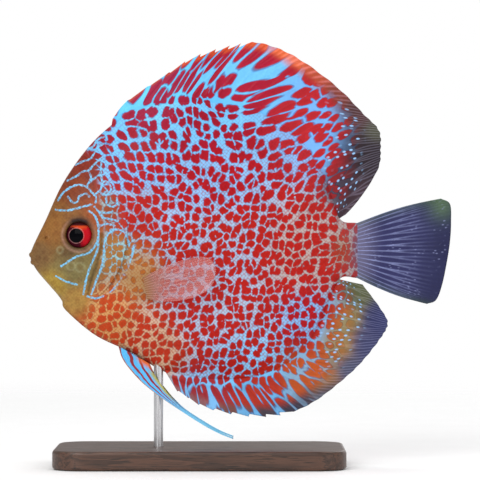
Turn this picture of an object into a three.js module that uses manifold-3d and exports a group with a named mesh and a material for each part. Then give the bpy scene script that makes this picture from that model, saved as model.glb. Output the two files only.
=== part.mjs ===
// A discus, a tall, disc-shaped river fish, as a still, life-size model on a plain display stand.
// Millimetres. X runs from the snout (-X) to the tail (+X), Y from the fish's left flank (-Y) to its right,
// Z up. The origin is the centre of the stand's underside.
import * as THREE from "three";
import { mergeVertices } from "three/addons/utils/BufferGeometryUtils.js";
import Module from "manifold-3d";

const wasm = await Module();
wasm.setup();

// Driving sizes.
const TOTAL_LENGTH = 180; // snout to the end of the tail fin
const LENGTH_UNITS = 420; // the same length in the drawing units of the side view
const UNIT = TOTAL_LENGTH / LENGTH_UNITS;
const STAND_X = 200; // the drawing unit above the stand's centre
const FLOOR_Z = 465; // the drawing unit at the floor, counted downwards
const GAP = 0.3; // between two nodes that touch

// A point of the side view, counted right and down in drawing units, as [x, z] in millimetres.
const side = ([right, down]) => [(right - STAND_X) * UNIT, (FLOOR_Z - down) * UNIT];
const mix = (a, b, t) => a + (b - a) * t;
const smooth = (low, high, value) => {
  const t = Math.min(1, Math.max(0, (value - low) / (high - low)));
  return t * t * (3 - 2 * t);
};

// A smooth curve through evenly numbered values: at(2.5) lies half way between values 2 and 3.
function through(values) {
  return (at) => {
    const i = Math.min(values.length - 2, Math.max(0, Math.floor(at)));
    const t = at - i;
    const b = values[i];
    const c = values[i + 1];
    const a = i > 0 ? values[i - 1] : 2 * b - c;
    const d = i + 2 < values.length ? values[i + 2] : 2 * c - b;
    const bend = 2 * a - 5 * b + 4 * c - d;
    return b + 0.5 * t * (c - a + t * (bend + t * (3 * (b - c) + d - a)));
  };
}

// The same curve through points of the side view, as a function that gives [x, z] in millimetres.
function line(points) {
  const placed = points.map(side);
  const x = through(placed.map((p) => p[0]));
  const z = through(placed.map((p) => p[1]));
  return (at) => [x(at), z(at)];
}

// Stations of the body from the snout to the tail's root. Each is a line from the lower to the upper edge
// that bows backwards by bow units. half is the greatest half thickness, crest and keel those at the edges.
const STATIONS = [
  { upper: [30, 254], lower: [31, 261], bow: 0, half: 2.6, crest: 1.0, keel: 1.0 },
  { upper: [35, 242], lower: [38, 272], bow: 1, half: 4.2, crest: 0.9, keel: 0.9 },
  { upper: [45.5, 220.5], lower: [50, 286], bow: 5, half: 6.2, crest: 0.7, keel: 0.8 },
  { upper: [62.5, 184], lower: [57, 294], bow: 12, half: 8.6, crest: 0.7, keel: 0.8 },
  { upper: [86, 150], lower: [62, 301], bow: 26, half: 10.8, crest: 0.8, keel: 0.8 },
  { upper: [108.5, 127.5], lower: [66, 310.5], bow: 46, half: 12.4, crest: 1.1, keel: 0.9 },
  { upper: [136, 109], lower: [95, 335], bow: 40, half: 13.2, crest: 1.5, keel: 1.0 },
  { upper: [167, 102], lower: [130, 352], bow: 30, half: 13.3, crest: 1.6, keel: 1.2 },
  { upper: [201, 100], lower: [170, 374], bow: 20, half: 12.6, crest: 1.6, keel: 1.5 },
  { upper: [238, 105], lower: [215, 381], bow: 12, half: 11.4, crest: 1.6, keel: 1.6 },
  { upper: [272, 116], lower: [255, 378], bow: 6, half: 9.8, crest: 1.6, keel: 1.6 },
  { upper: [300, 137], lower: [288, 364], bow: 2, half: 7.9, crest: 1.6, keel: 1.6 },
  { upper: [320, 166], lower: [314, 337], bow: 0, half: 5.9, crest: 1.5, keel: 1.5 },
  { upper: [333, 199], lower: [331, 297], bow: 0, half: 4.5, crest: 1.3, keel: 1.3 },
  { upper: [341, 220], lower: [341, 278], bow: 0, half: 3.5, crest: 1.1, keel: 1.1 },
  { upper: [357, 223], lower: [357, 278], bow: 0, half: 2.5, crest: 1.0, keel: 1.0 },
];
const GILL_STATION = 5;
const STEM_STATION = 14;
const LAST_STATION = STATIONS.length - 1;
const BOW_SKEW = 0.6; // under 1 puts the furthest point of a station's bow below its middle

const upperEdge = line(STATIONS.map((s) => s.upper));
const lowerEdge = line(STATIONS.map((s) => s.lower));
const bowAt = through(STATIONS.map((s) => s.bow * UNIT));
const halfAt = through(STATIONS.map((s) => s.half));
const crestAt = through(STATIONS.map((s) => s.crest));
const keelAt = through(STATIONS.map((s) => s.keel));

// The side-view point at station u and height v, from 0 at the lower edge to 1 at the upper one.
function flankPoint(u, v) {
  const [lx, lz] = lowerEdge(u);
  const [ux, uz] = upperEdge(u);
  const bow = bowAt(u) * Math.sin(Math.PI * Math.pow(v, BOW_SKEW));
  return [mix(lx, ux, v) + bow, mix(lz, uz, v)];
}

// Half the body's thickness there: a lens that is rounder at the head and keener at the tail.
function flankHalf(u, v) {
  const away = Math.abs(2 * v - 1);
  const edge = mix(keelAt(u), crestAt(u), v);
  const roundness = mix(0.5, 0.66, smooth(2, 7, u));
  return edge + (halfAt(u) - edge) * Math.pow(1 - Math.pow(away, 2.3), roundness);
}

// A station line moved along the side view, square to itself, by shift millimetres towards the tail.
function movedStation(u, v, shift) {
  const step = 0.01;
  const [ax, az] = flankPoint(u, Math.max(0, v - step));
  const [bx, bz] = flankPoint(u, Math.min(1, v + step));
  const length = Math.hypot(bx - ax, bz - az);
  const [x, z] = flankPoint(u, v);
  return [x + (shift * (bz - az)) / length, z - (shift * (bx - ax)) / length];
}

// A closed mesh from indexed points, as a three.js geometry.
function closed(points, triangles) {
  const g = new THREE.BufferGeometry();
  g.setAttribute("position", new THREE.Float32BufferAttribute(points.flat(), 3));
  g.setIndex(triangles.flat());
  return g;
}

// A closed solid between two faces that mirror each other in the plane y = 0, or in a bent middle sheet.
// face(i, j) gives {x, z, half, middle} on a grid of columns by rows.
function pillow(columns, rows, face) {
  const points = [];
  const across = rows + 1;
  for (const sign of [-1, 1]) {
    for (let i = 0; i <= columns; i++) {
      for (let j = 0; j <= rows; j++) {
        const { x, z, half, middle = 0 } = face(i, j);
        points.push([x, middle + sign * half, z]);
      }
    }
  }
  const other = (columns + 1) * across;
  const at = (i, j) => i * across + j;
  const triangles = [];
  const quad = (a, b, c, d) => triangles.push([a, b, c], [a, c, d]);
  for (let i = 0; i < columns; i++) {
    for (let j = 0; j < rows; j++) {
      const corners = [at(i, j), at(i + 1, j), at(i + 1, j + 1), at(i, j + 1)];
      quad(...corners);
      const [a, b, c, d] = corners.map((k) => k + other);
      triangles.push([a, c, b], [a, d, c]);
    }
  }
  const border = [];
  for (let i = 0; i < columns; i++) border.push(at(i, 0));
  for (let j = 0; j < rows; j++) border.push(at(columns, j));
  for (let i = columns; i > 0; i--) border.push(at(i, rows));
  for (let j = rows; j > 0; j--) border.push(at(0, j));
  border.forEach((a, k) => {
    const b = border[(k + 1) % border.length];
    quad(b, a, a + other, b + other);
  });
  return facingOut(closed(points, triangles));
}

// The same closed mesh with its faces turned outwards, by the sign of the volume inside them.
function facingOut(geometry) {
  const [p, order] = [geometry.attributes.position, geometry.index.array];
  const corner = (k) => new THREE.Vector3().fromBufferAttribute(p, order[k]);
  let volume = 0;
  for (let k = 0; k < order.length; k += 3) volume += corner(k).dot(corner(k + 1).cross(corner(k + 2)));
  if (volume < 0) geometry.setIndex(Array.from(order).reverse());
  return geometry;
}

// A geometry as a solid for cutting and joining, and back as the largest body that is left.
function solid(geometry) {
  const bare = geometry.clone();
  bare.deleteAttribute("normal");
  bare.deleteAttribute("uv");
  const merged = mergeVertices(bare, 1e-4);
  return new wasm.Manifold(
    new wasm.Mesh({
      numProp: 3,
      vertProperties: new Float32Array(merged.attributes.position.array),
      triVerts: new Uint32Array(merged.index.array),
    }),
  );
}
function geometryOf(manifold) {
  const largest = manifold.decompose().sort((a, b) => b.volume() - a.volume())[0];
  const mesh = largest.getMesh();
  const g = new THREE.BufferGeometry();
  g.setAttribute("position", new THREE.BufferAttribute(mesh.vertProperties, 3));
  g.setIndex(new THREE.BufferAttribute(mesh.triVerts, 1));
  return g;
}

const fish = new THREE.Group();
function add(name, geometry, colour, roughness, metalness = 0) {
  const material = new THREE.MeshStandardMaterial({ color: colour, roughness, metalness });
  const faceted = geometry.index ? geometry.toNonIndexed() : geometry;
  faceted.computeVertexNormals();
  const mesh = new THREE.Mesh(faceted, material);
  mesh.name = name;
  fish.add(mesh);
}

// Steps from 0 to 1 that crowd towards both ends, where the body's edge is round.
const even = (low, high, count) => Array.from({ length: count + 1 }, (_, k) => mix(low, high, k / count));
const crowded = (count) => even(0, Math.PI, count).map((turn) => 0.5 - 0.5 * Math.cos(turn));

const FLANK_RED = 0xb8452f;
const HEAD_BROWN = 0x9c6b3a;
const FIN_DARK = 0x4c4458;
const EYE_RED = 0x8c1a1c;
const CLEAR_PINK = 0xc98b83;
const PELVIC_BLUE = 0x7fb6d8;
const WOOD = 0x2a2320;
const STEEL = 0xb9bcc0;

// Trunk and tail stem, parted by gaps square to their station lines.
const FLANK_ROWS = 14;
function bodyLength(uValues, frontShift, backShift) {
  const vValues = crowded(FLANK_ROWS);
  const last = uValues.length - 1;
  return pillow(last, FLANK_ROWS, (i, j) => {
    const shift = i === 0 ? frontShift : i === last ? backShift : 0;
    const [x, z] = movedStation(uValues[i], vValues[j], shift);
    return { x, z, half: flankHalf(uValues[i], vValues[j]) };
  });
}
const trunk = bodyLength(even(GILL_STATION, STEM_STATION, 30), GAP / 2, -GAP / 2);
const tailStem = bodyLength(even(STEM_STATION, LAST_STATION, 3), GAP / 2, 0);

// Head: the front of the body, with a shallow bed for each gill cover, open to the rear.
const COVER_FRONT = 4.12; // station of the cover's front edge
const COVER_LOW = 0.06; // its lower and upper ends, as heights along the stations
const COVER_HIGH = 0.53;
const BED_DEPTH = 1.1;
const COVER_RISE = 0.9; // how far the rear rim stands proud of the flank
const WALL_U = 0.025; // a bed wall's width, in stations and in heights
const WALL_V = 0.006;
const COVER_COLUMNS = 4;
const FRONT_COLUMNS = 12;
// The cover's front edge: it runs back to the rear rim at the lower end, and a little at the upper one.
function coverFront(v) {
  const low = 1 - smooth(COVER_LOW, COVER_LOW + 0.3, v);
  return COVER_FRONT + 0.7 * low + 0.3 * smooth(COVER_HIGH - 0.07, COVER_HIGH, v);
}
const headU = (v) => [
  ...even(0, 1, 3),
  ...even(1, coverFront(v) - WALL_U, FRONT_COLUMNS - 3).slice(1),
  ...even(coverFront(v), GILL_STATION, COVER_COLUMNS),
];
const HEAD_COLUMNS = FRONT_COLUMNS + 1 + COVER_COLUMNS;
const BROW_V = 0.9; // from here up the rows crowd towards the head's upper edge
const headV = [
  ...crowded(28).filter((v) => v < COVER_LOW - 0.02),
  COVER_LOW - WALL_V,
  ...even(COVER_LOW, COVER_HIGH, 7),
  COVER_HIGH + WALL_V,
  ...even(COVER_HIGH + 0.07, BROW_V, 4),
  mix(BROW_V, 1, 0.6),
  mix(BROW_V, 1, 0.9),
  1,
];
const headShell = pillow(HEAD_COLUMNS, headV.length - 1, (i, j) => {
  const v = headV[j];
  const u = headU(v)[i];
  const inBed = i > FRONT_COLUMNS && v > COVER_LOW - 1e-6 && v < COVER_HIGH + 1e-6;
  const [x, z] = movedStation(u, v, i === HEAD_COLUMNS ? -GAP / 2 : 0);
  return { x, z, half: flankHalf(u, v) - (inBed ? BED_DEPTH : 0) };
});

// Gill covers: curved plates in the beds, low at the front and proud of the flank along the rear rim.
const COVER_CLEAR = 0.06; // between a plate's front edge and its bed's, in stations
const COVER_LIP = 0.1; // how far its front edge stands proud
const END_SHARE = 0.35; // how much of the rise is left at its lower and upper ends
const coverV = [COVER_LOW + 0.008, ...even(COVER_LOW + 0.03, COVER_HIGH - 0.02, 7), COVER_HIGH - 0.004];
function gillCover(sign) {
  return pillow(COVER_COLUMNS, coverV.length - 1, (i, j) => {
    const v = coverV[j];
    const u = mix(coverFront(v) + COVER_CLEAR, GILL_STATION, i / COVER_COLUMNS);
    const [x, z] = movedStation(u, v, i === COVER_COLUMNS ? -GAP / 2 : 0);
    const ends = smooth(coverV[0], COVER_LOW + 0.08, v) * (1 - smooth(COVER_HIGH - 0.1, COVER_HIGH, v));
    const rise = COVER_LIP + COVER_RISE * smooth(COVER_FRONT, GILL_STATION, u) * mix(END_SHARE, 1, ends);
    const low = flankHalf(u, v) - BED_DEPTH + GAP;
    const high = flankHalf(u, v) + rise;
    return { x, z, half: (high - low) / 2, middle: (sign * (high + low)) / 2 };
  });
}

// The side-view point [x, z] found on the flank, as { u, v, half }, by Newton steps from a near guess.
function onFlank([x, z], u = 4, v = 0.5) {
  const step = 1e-3;
  for (let round = 0; round < 30; round++) {
    const [px, pz] = flankPoint(u, v);
    const [ax, az] = flankPoint(u + step, v).map((c, k) => (c - [px, pz][k]) / step);
    const [bx, bz] = flankPoint(u, v + step).map((c, k) => (c - [px, pz][k]) / step);
    const det = ax * bz - az * bx;
    u += ((x - px) * bz - (z - pz) * bx) / det;
    v += ((z - pz) * ax - (x - px) * az) / det;
    v = Math.min(0.99, Math.max(0.01, v));
  }
  return { u, v, half: flankHalf(u, v) };
}

// The direction that the flank faces at a side-view point, for the side of the given sign.
function flankNormal([x, z], sign, guess) {
  const reach = 1.5;
  const half = (dx, dz) => onFlank([x + dx, z + dz], guess.u, guess.v).half;
  const slopeX = (half(reach, 0) - half(-reach, 0)) / (2 * reach);
  const slopeZ = (half(0, reach) - half(0, -reach)) / (2 * reach);
  return new THREE.Vector3(-slopeX, sign, -slopeZ).normalize();
}

// A tube with round ends through points, of a radius that changes along it, its sections kept upright.
function taperedTube(centres, radii, sides) {
  const points = [];
  const triangles = [];
  const up = new THREE.Vector3(0, 0, 1);
  centres.forEach((c, i) => {
    const [before, after] = [centres[Math.max(i - 1, 0)], centres[Math.min(i + 1, centres.length - 1)]];
    const ahead = after.clone().sub(before).normalize();
    const out = ahead.clone().cross(up).normalize();
    for (let k = 0; k < sides; k++) {
      const turn = (2 * Math.PI * k) / sides;
      const sideways = c.clone().addScaledVector(out, radii[i] * Math.cos(turn));
      points.push(sideways.addScaledVector(up, radii[i] * Math.sin(turn)).toArray());
    }
  });
  for (let i = 0; i + 1 < centres.length; i++) {
    for (let k = 0; k < sides; k++) {
      const [a, b] = [i * sides + k, i * sides + ((k + 1) % sides)];
      triangles.push([a, a + sides, b], [b, a + sides, b + sides]);
    }
  }
  const last = (centres.length - 1) * sides;
  for (let k = 1; k + 1 < sides; k++) {
    triangles.push([0, k, k + 1], [last, last + k + 1, last + k]);
  }
  return closed(points, triangles);
}

// A geometry placed with its own +Z along a direction.
function aimed(geometry, direction, place) {
  const turn = new THREE.Quaternion().setFromUnitVectors(new THREE.Vector3(0, 0, 1), direction);
  return geometry.applyQuaternion(turn).translate(place.x, place.y, place.z);
}

// Eyes: flattened balls that stand a little out of a fitting socket, inside a low fleshy rim.
const EYE_AT = side([80, 235]);
const EYE_RADIUS = 5.6;
const EYE_DEPTH = 3.3; // half the ball's thickness
const EYE_SINK = 1.5; // how far its middle lies under the flank
const RIM_RADIUS = 0.62;
const eyeSpot = onFlank(EYE_AT, 3.4, 0.5);
function eyePart(sign, geometry, rise) {
  const facing = flankNormal(EYE_AT, sign, eyeSpot);
  const place = new THREE.Vector3(EYE_AT[0], sign * eyeSpot.half, EYE_AT[1]).addScaledVector(facing, rise);
  return aimed(geometry, facing, place);
}
function eyeBall(grow) {
  const [across, deep] = [EYE_RADIUS + grow, EYE_DEPTH + grow];
  return new THREE.SphereGeometry(1, 20, 12).rotateX(Math.PI / 2).scale(across, across, deep);
}
const eyeRim = () => new THREE.TorusGeometry(EYE_RADIUS + RIM_RADIUS, RIM_RADIUS, 5, 20);

// Nostrils: one small pit with a raised edge on each side, in front of the eye.
const NOSTRIL_AT = side([47, 238]);
const NOSTRIL_RADIUS = 0.75;
const NOSTRIL_RING = { radius: 0.95, thickness: 0.35 };
const nostrilSpot = onFlank(NOSTRIL_AT, 2, 0.6);
const nostrilEdge = () => new THREE.TorusGeometry(NOSTRIL_RING.radius, NOSTRIL_RING.thickness, 5, 8);
function nostrilPart(sign, geometry) {
  const facing = flankNormal(NOSTRIL_AT, sign, nostrilSpot);
  return aimed(geometry, facing, new THREE.Vector3(NOSTRIL_AT[0], sign * nostrilSpot.half, NOSTRIL_AT[1]));
}

// Mouth: two thick lips round the snout, parted by a thin cut that slants down to the corners.
const LIP_STEPS = 10;
const LIP_HALF_WIDTH = 3.5;
const LIP_ROUNDING = 2.4; // the power by which a lip bends back towards its corners
const UPPER_LIP = { front: [31.9, 254.6], corner: [45, 261.5], radius: 1.35 };
const LOWER_LIP = { front: [33.2, 262], corner: [45, 266], radius: 1.3 };
function lip({ front, corner, radius }) {
  const [fx, fz] = side(front);
  const [cx, cz] = side(corner);
  const centres = [];
  const radii = [];
  for (let k = 0; k <= LIP_STEPS; k++) {
    const a = (2 * k) / LIP_STEPS - 1;
    const back = Math.pow(Math.abs(a), LIP_ROUNDING);
    const y = LIP_HALF_WIDTH * Math.sin((a * Math.PI) / 2);
    centres.push(new THREE.Vector3(mix(fx, cx, back), y, mix(fz, cz, a * a)));
    radii.push(mix(radius, 0.5 * radius, back));
  }
  return taperedTube(centres, radii, 7);
}
const MOUTH_CUT = { at: side([30.5, 257.6]), radius: 6.2, thickness: 0.5, slant: 24 };
const mouthCut = new THREE.CylinderGeometry(MOUTH_CUT.radius, MOUTH_CUT.radius, MOUTH_CUT.thickness, 20)
  .rotateX(Math.PI / 2)
  .rotateY(THREE.MathUtils.degToRad(MOUTH_CUT.slant))
  .translate(MOUTH_CUT.at[0], 0, MOUTH_CUT.at[1]);

// Each eye's rim and each nostril's edge are joined to the head before their hollows are cut.
let headSolid = solid(headShell)
  .add(solid(lip(UPPER_LIP)))
  .add(solid(lip(LOWER_LIP)))
  .subtract(solid(mouthCut));
for (const sign of [-1, 1]) {
  headSolid = headSolid
    .add(solid(eyePart(sign, eyeRim(), 0.1)))
    .subtract(solid(eyePart(sign, eyeBall(GAP), -EYE_SINK)))
    .add(solid(nostrilPart(sign, nostrilEdge())))
    .subtract(solid(nostrilPart(sign, new THREE.SphereGeometry(NOSTRIL_RADIUS, 8, 6))));
}

// A fin: a thin pillow between its root and its tips. Each ray is a low ridge on both faces.
const RIDGE_COLUMNS = 3; // grid columns for each ray: its crest and two in the membrane
const EDGE_HALF = 0.28; // half the membrane's thickness at the fin's edge
const RAY_RISE = 0.22;
function rayedFin({ rays, rows, pointAt, rootHalf, middleAt = () => 0, rise = RAY_RISE }) {
  const columns = rays * RIDGE_COLUMNS;
  return pillow(columns, rows, (i, j) => {
    const [s, t] = [i / columns, j / rows];
    const [x, z] = pointAt(s, t);
    const ridge = i % RIDGE_COLUMNS === 0 ? rise * (1 - 0.5 * t) * smooth(0, 0.15, t) : 0;
    const thinned = smooth(0, 0.3, t) * smooth(-0.25, 0.85, t);
    return { x, z, half: mix(rootHalf(s), EDGE_HALF, thinned) + ridge, middle: middleAt(s, t) };
  });
}

// A point pushed off an edge curve by the gap, away from the body.
function offEdge(edge, u, away) {
  const step = 0.01;
  const [ax, az] = edge(u - step);
  const [bx, bz] = edge(u + step);
  const length = Math.hypot(bx - ax, bz - az);
  const [x, z] = edge(u);
  return [x - (away * (bz - az)) / length, z + (away * (bx - ax)) / length];
}

// The dorsal and anal fins stand on the body's edges. Their tips are given for every half station.
const DORSAL_TIPS = [
  [108, 126], [123, 104.5], [145, 88], [171, 71], [191, 58], [213, 50], [237, 44], [256, 42], [278, 48],
  [298, 58], [320, 73], [343, 92], [364, 114], [379, 130], [381, 148], [379, 167], [366, 190], [352, 208],
  [342, 218],
];
const ANAL_TIPS = [
  [182, 394], [203, 407], [235, 415], [266, 417], [290, 413], [314, 402], [338, 384], [361, 363],
  [381, 338], [388, 323], [381, 309], [370, 294], [359, 280],
];
// How far each ray sweeps back to its tip, in stations, and how far it bulges, in drawing units, per station.
const DORSAL_SWEEP = [0, 0.35, 0.5, 0.35, 0.38, 0.62, 0.4, 0, -0.38, 0];
const DORSAL_BULGE = [0, 0.5, 1, 2, 4.5, 8, 6, 2, 1, 0];
const ANAL_SWEEP = [0, 0.05, 0.2, 0.2, -0.05, -0.3, 0];
const ANAL_BULGE = [0, 0.5, 3, 5, 3, 1, 0];
const DORSAL_START = 5.12;
const ANAL_START = 7.9;
const FIN_END = 13.88;
const SPINE_NOTCH = 0.07; // how deep the edge is cut behind each hard spine, as a share of the fin's height
const DORSAL_SPINES = 9;
const DORSAL_RAYS = 27;
const ANAL_SPINES = 8;
const ANAL_RAYS = 24;
function medianFin({ edge, side: outward, start, station, tips, sweep, bulge, spines, rays }) {
  const tipLine = line(tips);
  const [sweepAt, bulgeAt] = [through(sweep), through(bulge)];
  return (s, t) => {
    const u = mix(start, FIN_END, s);
    const [bx, bz] = offEdge(edge, u, outward * GAP);
    const [tx, tz] = tipLine((u + sweepAt(u - station) - station) * 2);
    const ray = s * rays;
    const behind = ray - Math.floor(ray);
    const notch = ray < spines ? SPINE_NOTCH * Math.min(1, behind * RIDGE_COLUMNS) * (1 - behind) * 2 : 0;
    const reach = t * (1 - notch);
    const bow = outward * bulgeAt(u - station) * UNIT * 4 * reach * (1 - reach);
    const length = Math.hypot(tx - bx, tz - bz);
    return [mix(bx, tx, reach) - (bow * (tz - bz)) / length, mix(bz, tz, reach) + (bow * (tx - bx)) / length];
  };
}
const dorsalFin = rayedFin({
  rays: DORSAL_RAYS,
  rows: 5,
  pointAt: medianFin({
    edge: upperEdge,
    side: 1,
    start: DORSAL_START,
    station: 5,
    tips: DORSAL_TIPS,
    sweep: DORSAL_SWEEP,
    bulge: DORSAL_BULGE,
    spines: DORSAL_SPINES,
    rays: DORSAL_RAYS,
  }),
  rootHalf: (s) => crestAt(mix(DORSAL_START, FIN_END, s)),
});
const analFin = rayedFin({
  rays: ANAL_RAYS,
  rows: 5,
  pointAt: medianFin({
    edge: lowerEdge,
    side: -1,
    start: ANAL_START,
    station: 8,
    tips: ANAL_TIPS,
    sweep: ANAL_SWEEP,
    bulge: ANAL_BULGE,
    spines: ANAL_SPINES,
    rays: ANAL_RAYS,
  }),
  rootHalf: (s) => keelAt(mix(ANAL_START, FIN_END, s)),
});

// Tail fin: a fan from the stem's end. Its upper and lower edges are its first and last rays.
const TAIL_TIPS = [
  [441, 198.5], [450, 204], [451, 222], [450, 242], [447, 262], [442, 285], [436, 300], [427, 304],
];
const TAIL_RAYS = 16;
const TAIL_SWELL = 1.2; // how far its upper and lower edges bow outwards
const tailTips = line(TAIL_TIPS);
const tailFin = rayedFin({
  rays: TAIL_RAYS,
  rows: 6,
  pointAt: (s, t) => {
    const [ux, uz] = upperEdge(LAST_STATION);
    const [lx, lz] = lowerEdge(LAST_STATION);
    const [tx, tz] = tailTips(s * (TAIL_TIPS.length - 1));
    const swell = TAIL_SWELL * Math.sin(Math.PI * t) * (1 - 2 * s);
    return [mix(mix(ux, lx, s) + GAP, tx, t), mix(mix(uz, lz, s), tz, t) + swell];
  },
  rootHalf: (s) => flankHalf(LAST_STATION, 1 - s),
});

// Pectoral fins: fans on a fleshy base that lies on the flank, held a little away from it.
const PECTORAL_ROOT = [[144, 277], [148, 299]];
const PECTORAL_TIPS = [[199, 256], [210, 258], [216, 266], [216, 275], [213, 284], [206, 291], [194, 297]];
const PECTORAL_RAYS = 9;
const PECTORAL_SPREAD = 8; // how far its tips stand off the flank
const PECTORAL_SWELL = 1.2;
const PECTORAL_ROOT_HALF = 0.8;
const PECTORAL_CLEAR = 0.4; // between its base and the flank
const pectoralTips = line(PECTORAL_TIPS);
const pectoralPoint = (s, t) => {
  const [ax, az] = side(PECTORAL_ROOT[0]);
  const [bx, bz] = side(PECTORAL_ROOT[1]);
  const [tx, tz] = pectoralTips(s * (PECTORAL_TIPS.length - 1));
  const swell = PECTORAL_SWELL * Math.sin(Math.PI * t) * (1 - 2 * s);
  return [mix(mix(ax, bx, s), tx, t), mix(mix(az, bz, s), tz, t) + swell];
};
const pectoralFin = (sign) =>
  rayedFin({
    rays: PECTORAL_RAYS,
    rows: 5,
    pointAt: pectoralPoint,
    rootHalf: () => PECTORAL_ROOT_HALF,
    middleAt: (s, t) => {
      const { half } = onFlank(pectoralPoint(s, t), 7, 0.4);
      return sign * (half + PECTORAL_CLEAR + PECTORAL_ROOT_HALF + PECTORAL_SPREAD * smooth(0, 1.3, t));
    },
  });

// Pelvic fins: narrow blades under the breast, each drawn out into a long thread.
const PELVIC_FRONT = [
  [119, 347.5], [122, 357], [129, 367.5], [143, 382.5], [161, 396.5], [181, 410], [203, 424], [219, 432.5],
  [233, 438],
];
const PELVIC_BACK = [
  [150, 364.5], [153, 371], [158, 379], [167, 389.5], [176, 398.5], [187, 408.5], [205, 421.5],
  [220, 430.5], [234, 436],
];
const PELVIC_RAYS = 3;
const PELVIC_ROOT_Y = 2.1;
const PELVIC_SPLAY = 4.2; // how far each turns out from its root
const PELVIC_ROOT_HALF = 0.9;
const PELVIC_RISE = 0.15;
const pelvicFront = line(PELVIC_FRONT);
const pelvicBack = line(PELVIC_BACK);
const pelvicFin = (sign) =>
  rayedFin({
    rays: PELVIC_RAYS,
    rows: 14,
    pointAt: (s, t) => {
      const along = t * (PELVIC_FRONT.length - 1);
      const [fx, fz] = pelvicFront(along);
      const [bx, bz] = pelvicBack(along);
      return [mix(fx, bx, s), mix(fz, bz, s)];
    },
    rootHalf: () => PELVIC_ROOT_HALF,
    middleAt: (s, t) => sign * (PELVIC_ROOT_Y + PELVIC_SPLAY * smooth(0, 0.6, t)),
    rise: PELVIC_RISE,
  });

// Stand: a flat board with rounded corners, and one rod from it into the belly.
const BOARD = { length: 124, width: 72, corner: 12, thickness: 8, bevel: 1.2 };
const ROD_RADIUS = 2;
const ROD_X = side([158.5, 0])[0];
const ROD_FOOT = 1.6; // height of the rod's foot inside the board
const SOCKET_DEPTH = 10.2; // how far the rod goes into the belly
const rodTop = lowerEdge(8)[1] + SOCKET_DEPTH;
function upright(radius, low, high) {
  return new THREE.CylinderGeometry(radius, radius, high - low, 32)
    .rotateX(Math.PI / 2)
    .translate(ROD_X, 0, (low + high) / 2);
}
function board() {
  const [x, y, r] = [BOARD.length / 2 - BOARD.bevel, BOARD.width / 2 - BOARD.bevel, BOARD.corner];
  const outline = new THREE.Shape();
  outline.moveTo(x - r, -y);
  outline.absarc(x - r, r - y, r, -Math.PI / 2, 0);
  outline.absarc(x - r, y - r, r, 0, Math.PI / 2);
  outline.absarc(r - x, y - r, r, Math.PI / 2, Math.PI);
  outline.absarc(r - x, r - y, r, Math.PI, 1.5 * Math.PI);
  return new THREE.ExtrudeGeometry(outline, {
    depth: BOARD.thickness - 2 * BOARD.bevel,
    bevelThickness: BOARD.bevel,
    bevelSize: BOARD.bevel,
    bevelSegments: 2,
    curveSegments: 8,
  }).translate(0, 0, BOARD.bevel);
}
const boardSocket = upright(ROD_RADIUS + GAP, ROD_FOOT - GAP, 2 * BOARD.thickness);
const boardSolid = solid(board()).subtract(solid(boardSocket));
const trunkSolid = solid(trunk).subtract(solid(upright(ROD_RADIUS + GAP, 0, rodTop + GAP)));

add("head", geometryOf(headSolid), HEAD_BROWN, 0.45);
add("gill_cover_left", gillCover(-1), HEAD_BROWN, 0.45);
add("gill_cover_right", gillCover(1), HEAD_BROWN, 0.45);
add("eye_left", eyePart(-1, eyeBall(0), -EYE_SINK), EYE_RED, 0.15);
add("eye_right", eyePart(1, eyeBall(0), -EYE_SINK), EYE_RED, 0.15);
add("trunk", geometryOf(trunkSolid), FLANK_RED, 0.45);
add("tail_stem", tailStem, FLANK_RED, 0.45);
add("dorsal_fin", dorsalFin, FLANK_RED, 0.5);
add("anal_fin", analFin, FLANK_RED, 0.5);
add("tail_fin", tailFin, FIN_DARK, 0.5);
add("pectoral_fin_left", pectoralFin(-1), CLEAR_PINK, 0.5);
add("pectoral_fin_right", pectoralFin(1), CLEAR_PINK, 0.5);
add("pelvic_fin_left", pelvicFin(-1), PELVIC_BLUE, 0.5);
add("pelvic_fin_right", pelvicFin(1), PELVIC_BLUE, 0.5);
add("stand_base", geometryOf(boardSolid), WOOD, 0.35);
add("stand_rod", upright(ROD_RADIUS, ROD_FOOT, rodTop), STEEL, 0.3, 1);

export default fish;
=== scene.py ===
# %% [markdown]
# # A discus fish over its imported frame
#
# A discus is a tall, disc-shaped river fish, hardly thicker than a thumb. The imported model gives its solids:
# head, gill covers, eyes, trunk, tail stem, fins and a display stand. This lesson dresses them in one skin,
# rayed fins, real-looking eyes and a wet, spotted pattern. Every piece stays in the frame's own place.
#
# The surfaces are worked out with numpy, as functions on grids, since a fish is a smooth loft with a few
# folds. Sculpting by hand would work too, but could not be repeated exactly.

# %% Load the frame
import math

import bpy
import bmesh
import numpy as np
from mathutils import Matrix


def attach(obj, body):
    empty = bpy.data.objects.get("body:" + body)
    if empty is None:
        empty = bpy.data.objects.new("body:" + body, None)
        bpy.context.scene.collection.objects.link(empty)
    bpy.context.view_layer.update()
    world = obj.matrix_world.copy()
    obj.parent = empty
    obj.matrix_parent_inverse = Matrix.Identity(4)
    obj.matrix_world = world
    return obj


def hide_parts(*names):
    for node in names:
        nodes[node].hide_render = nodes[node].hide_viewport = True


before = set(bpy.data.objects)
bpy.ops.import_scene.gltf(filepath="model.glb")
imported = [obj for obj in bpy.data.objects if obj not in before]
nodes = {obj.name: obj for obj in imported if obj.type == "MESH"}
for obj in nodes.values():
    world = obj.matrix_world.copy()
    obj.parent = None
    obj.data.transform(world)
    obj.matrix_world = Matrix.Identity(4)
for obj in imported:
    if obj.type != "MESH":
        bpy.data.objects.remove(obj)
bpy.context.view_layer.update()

print("CAD nodes:", sorted(nodes))

# %% [markdown]
# ## Measures
#
# The side view is drawn in small units, 420 of them from the snout to the end of the tail fin, counted to the
# right and down. One function turns them into metres in the frame, so that the drawing is written only once.

# %% Units, blends and smooth curves
UNIT = 0.180 / 420
STAND_X = 200
FLOOR_Z = 465
MM = 0.001


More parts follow.
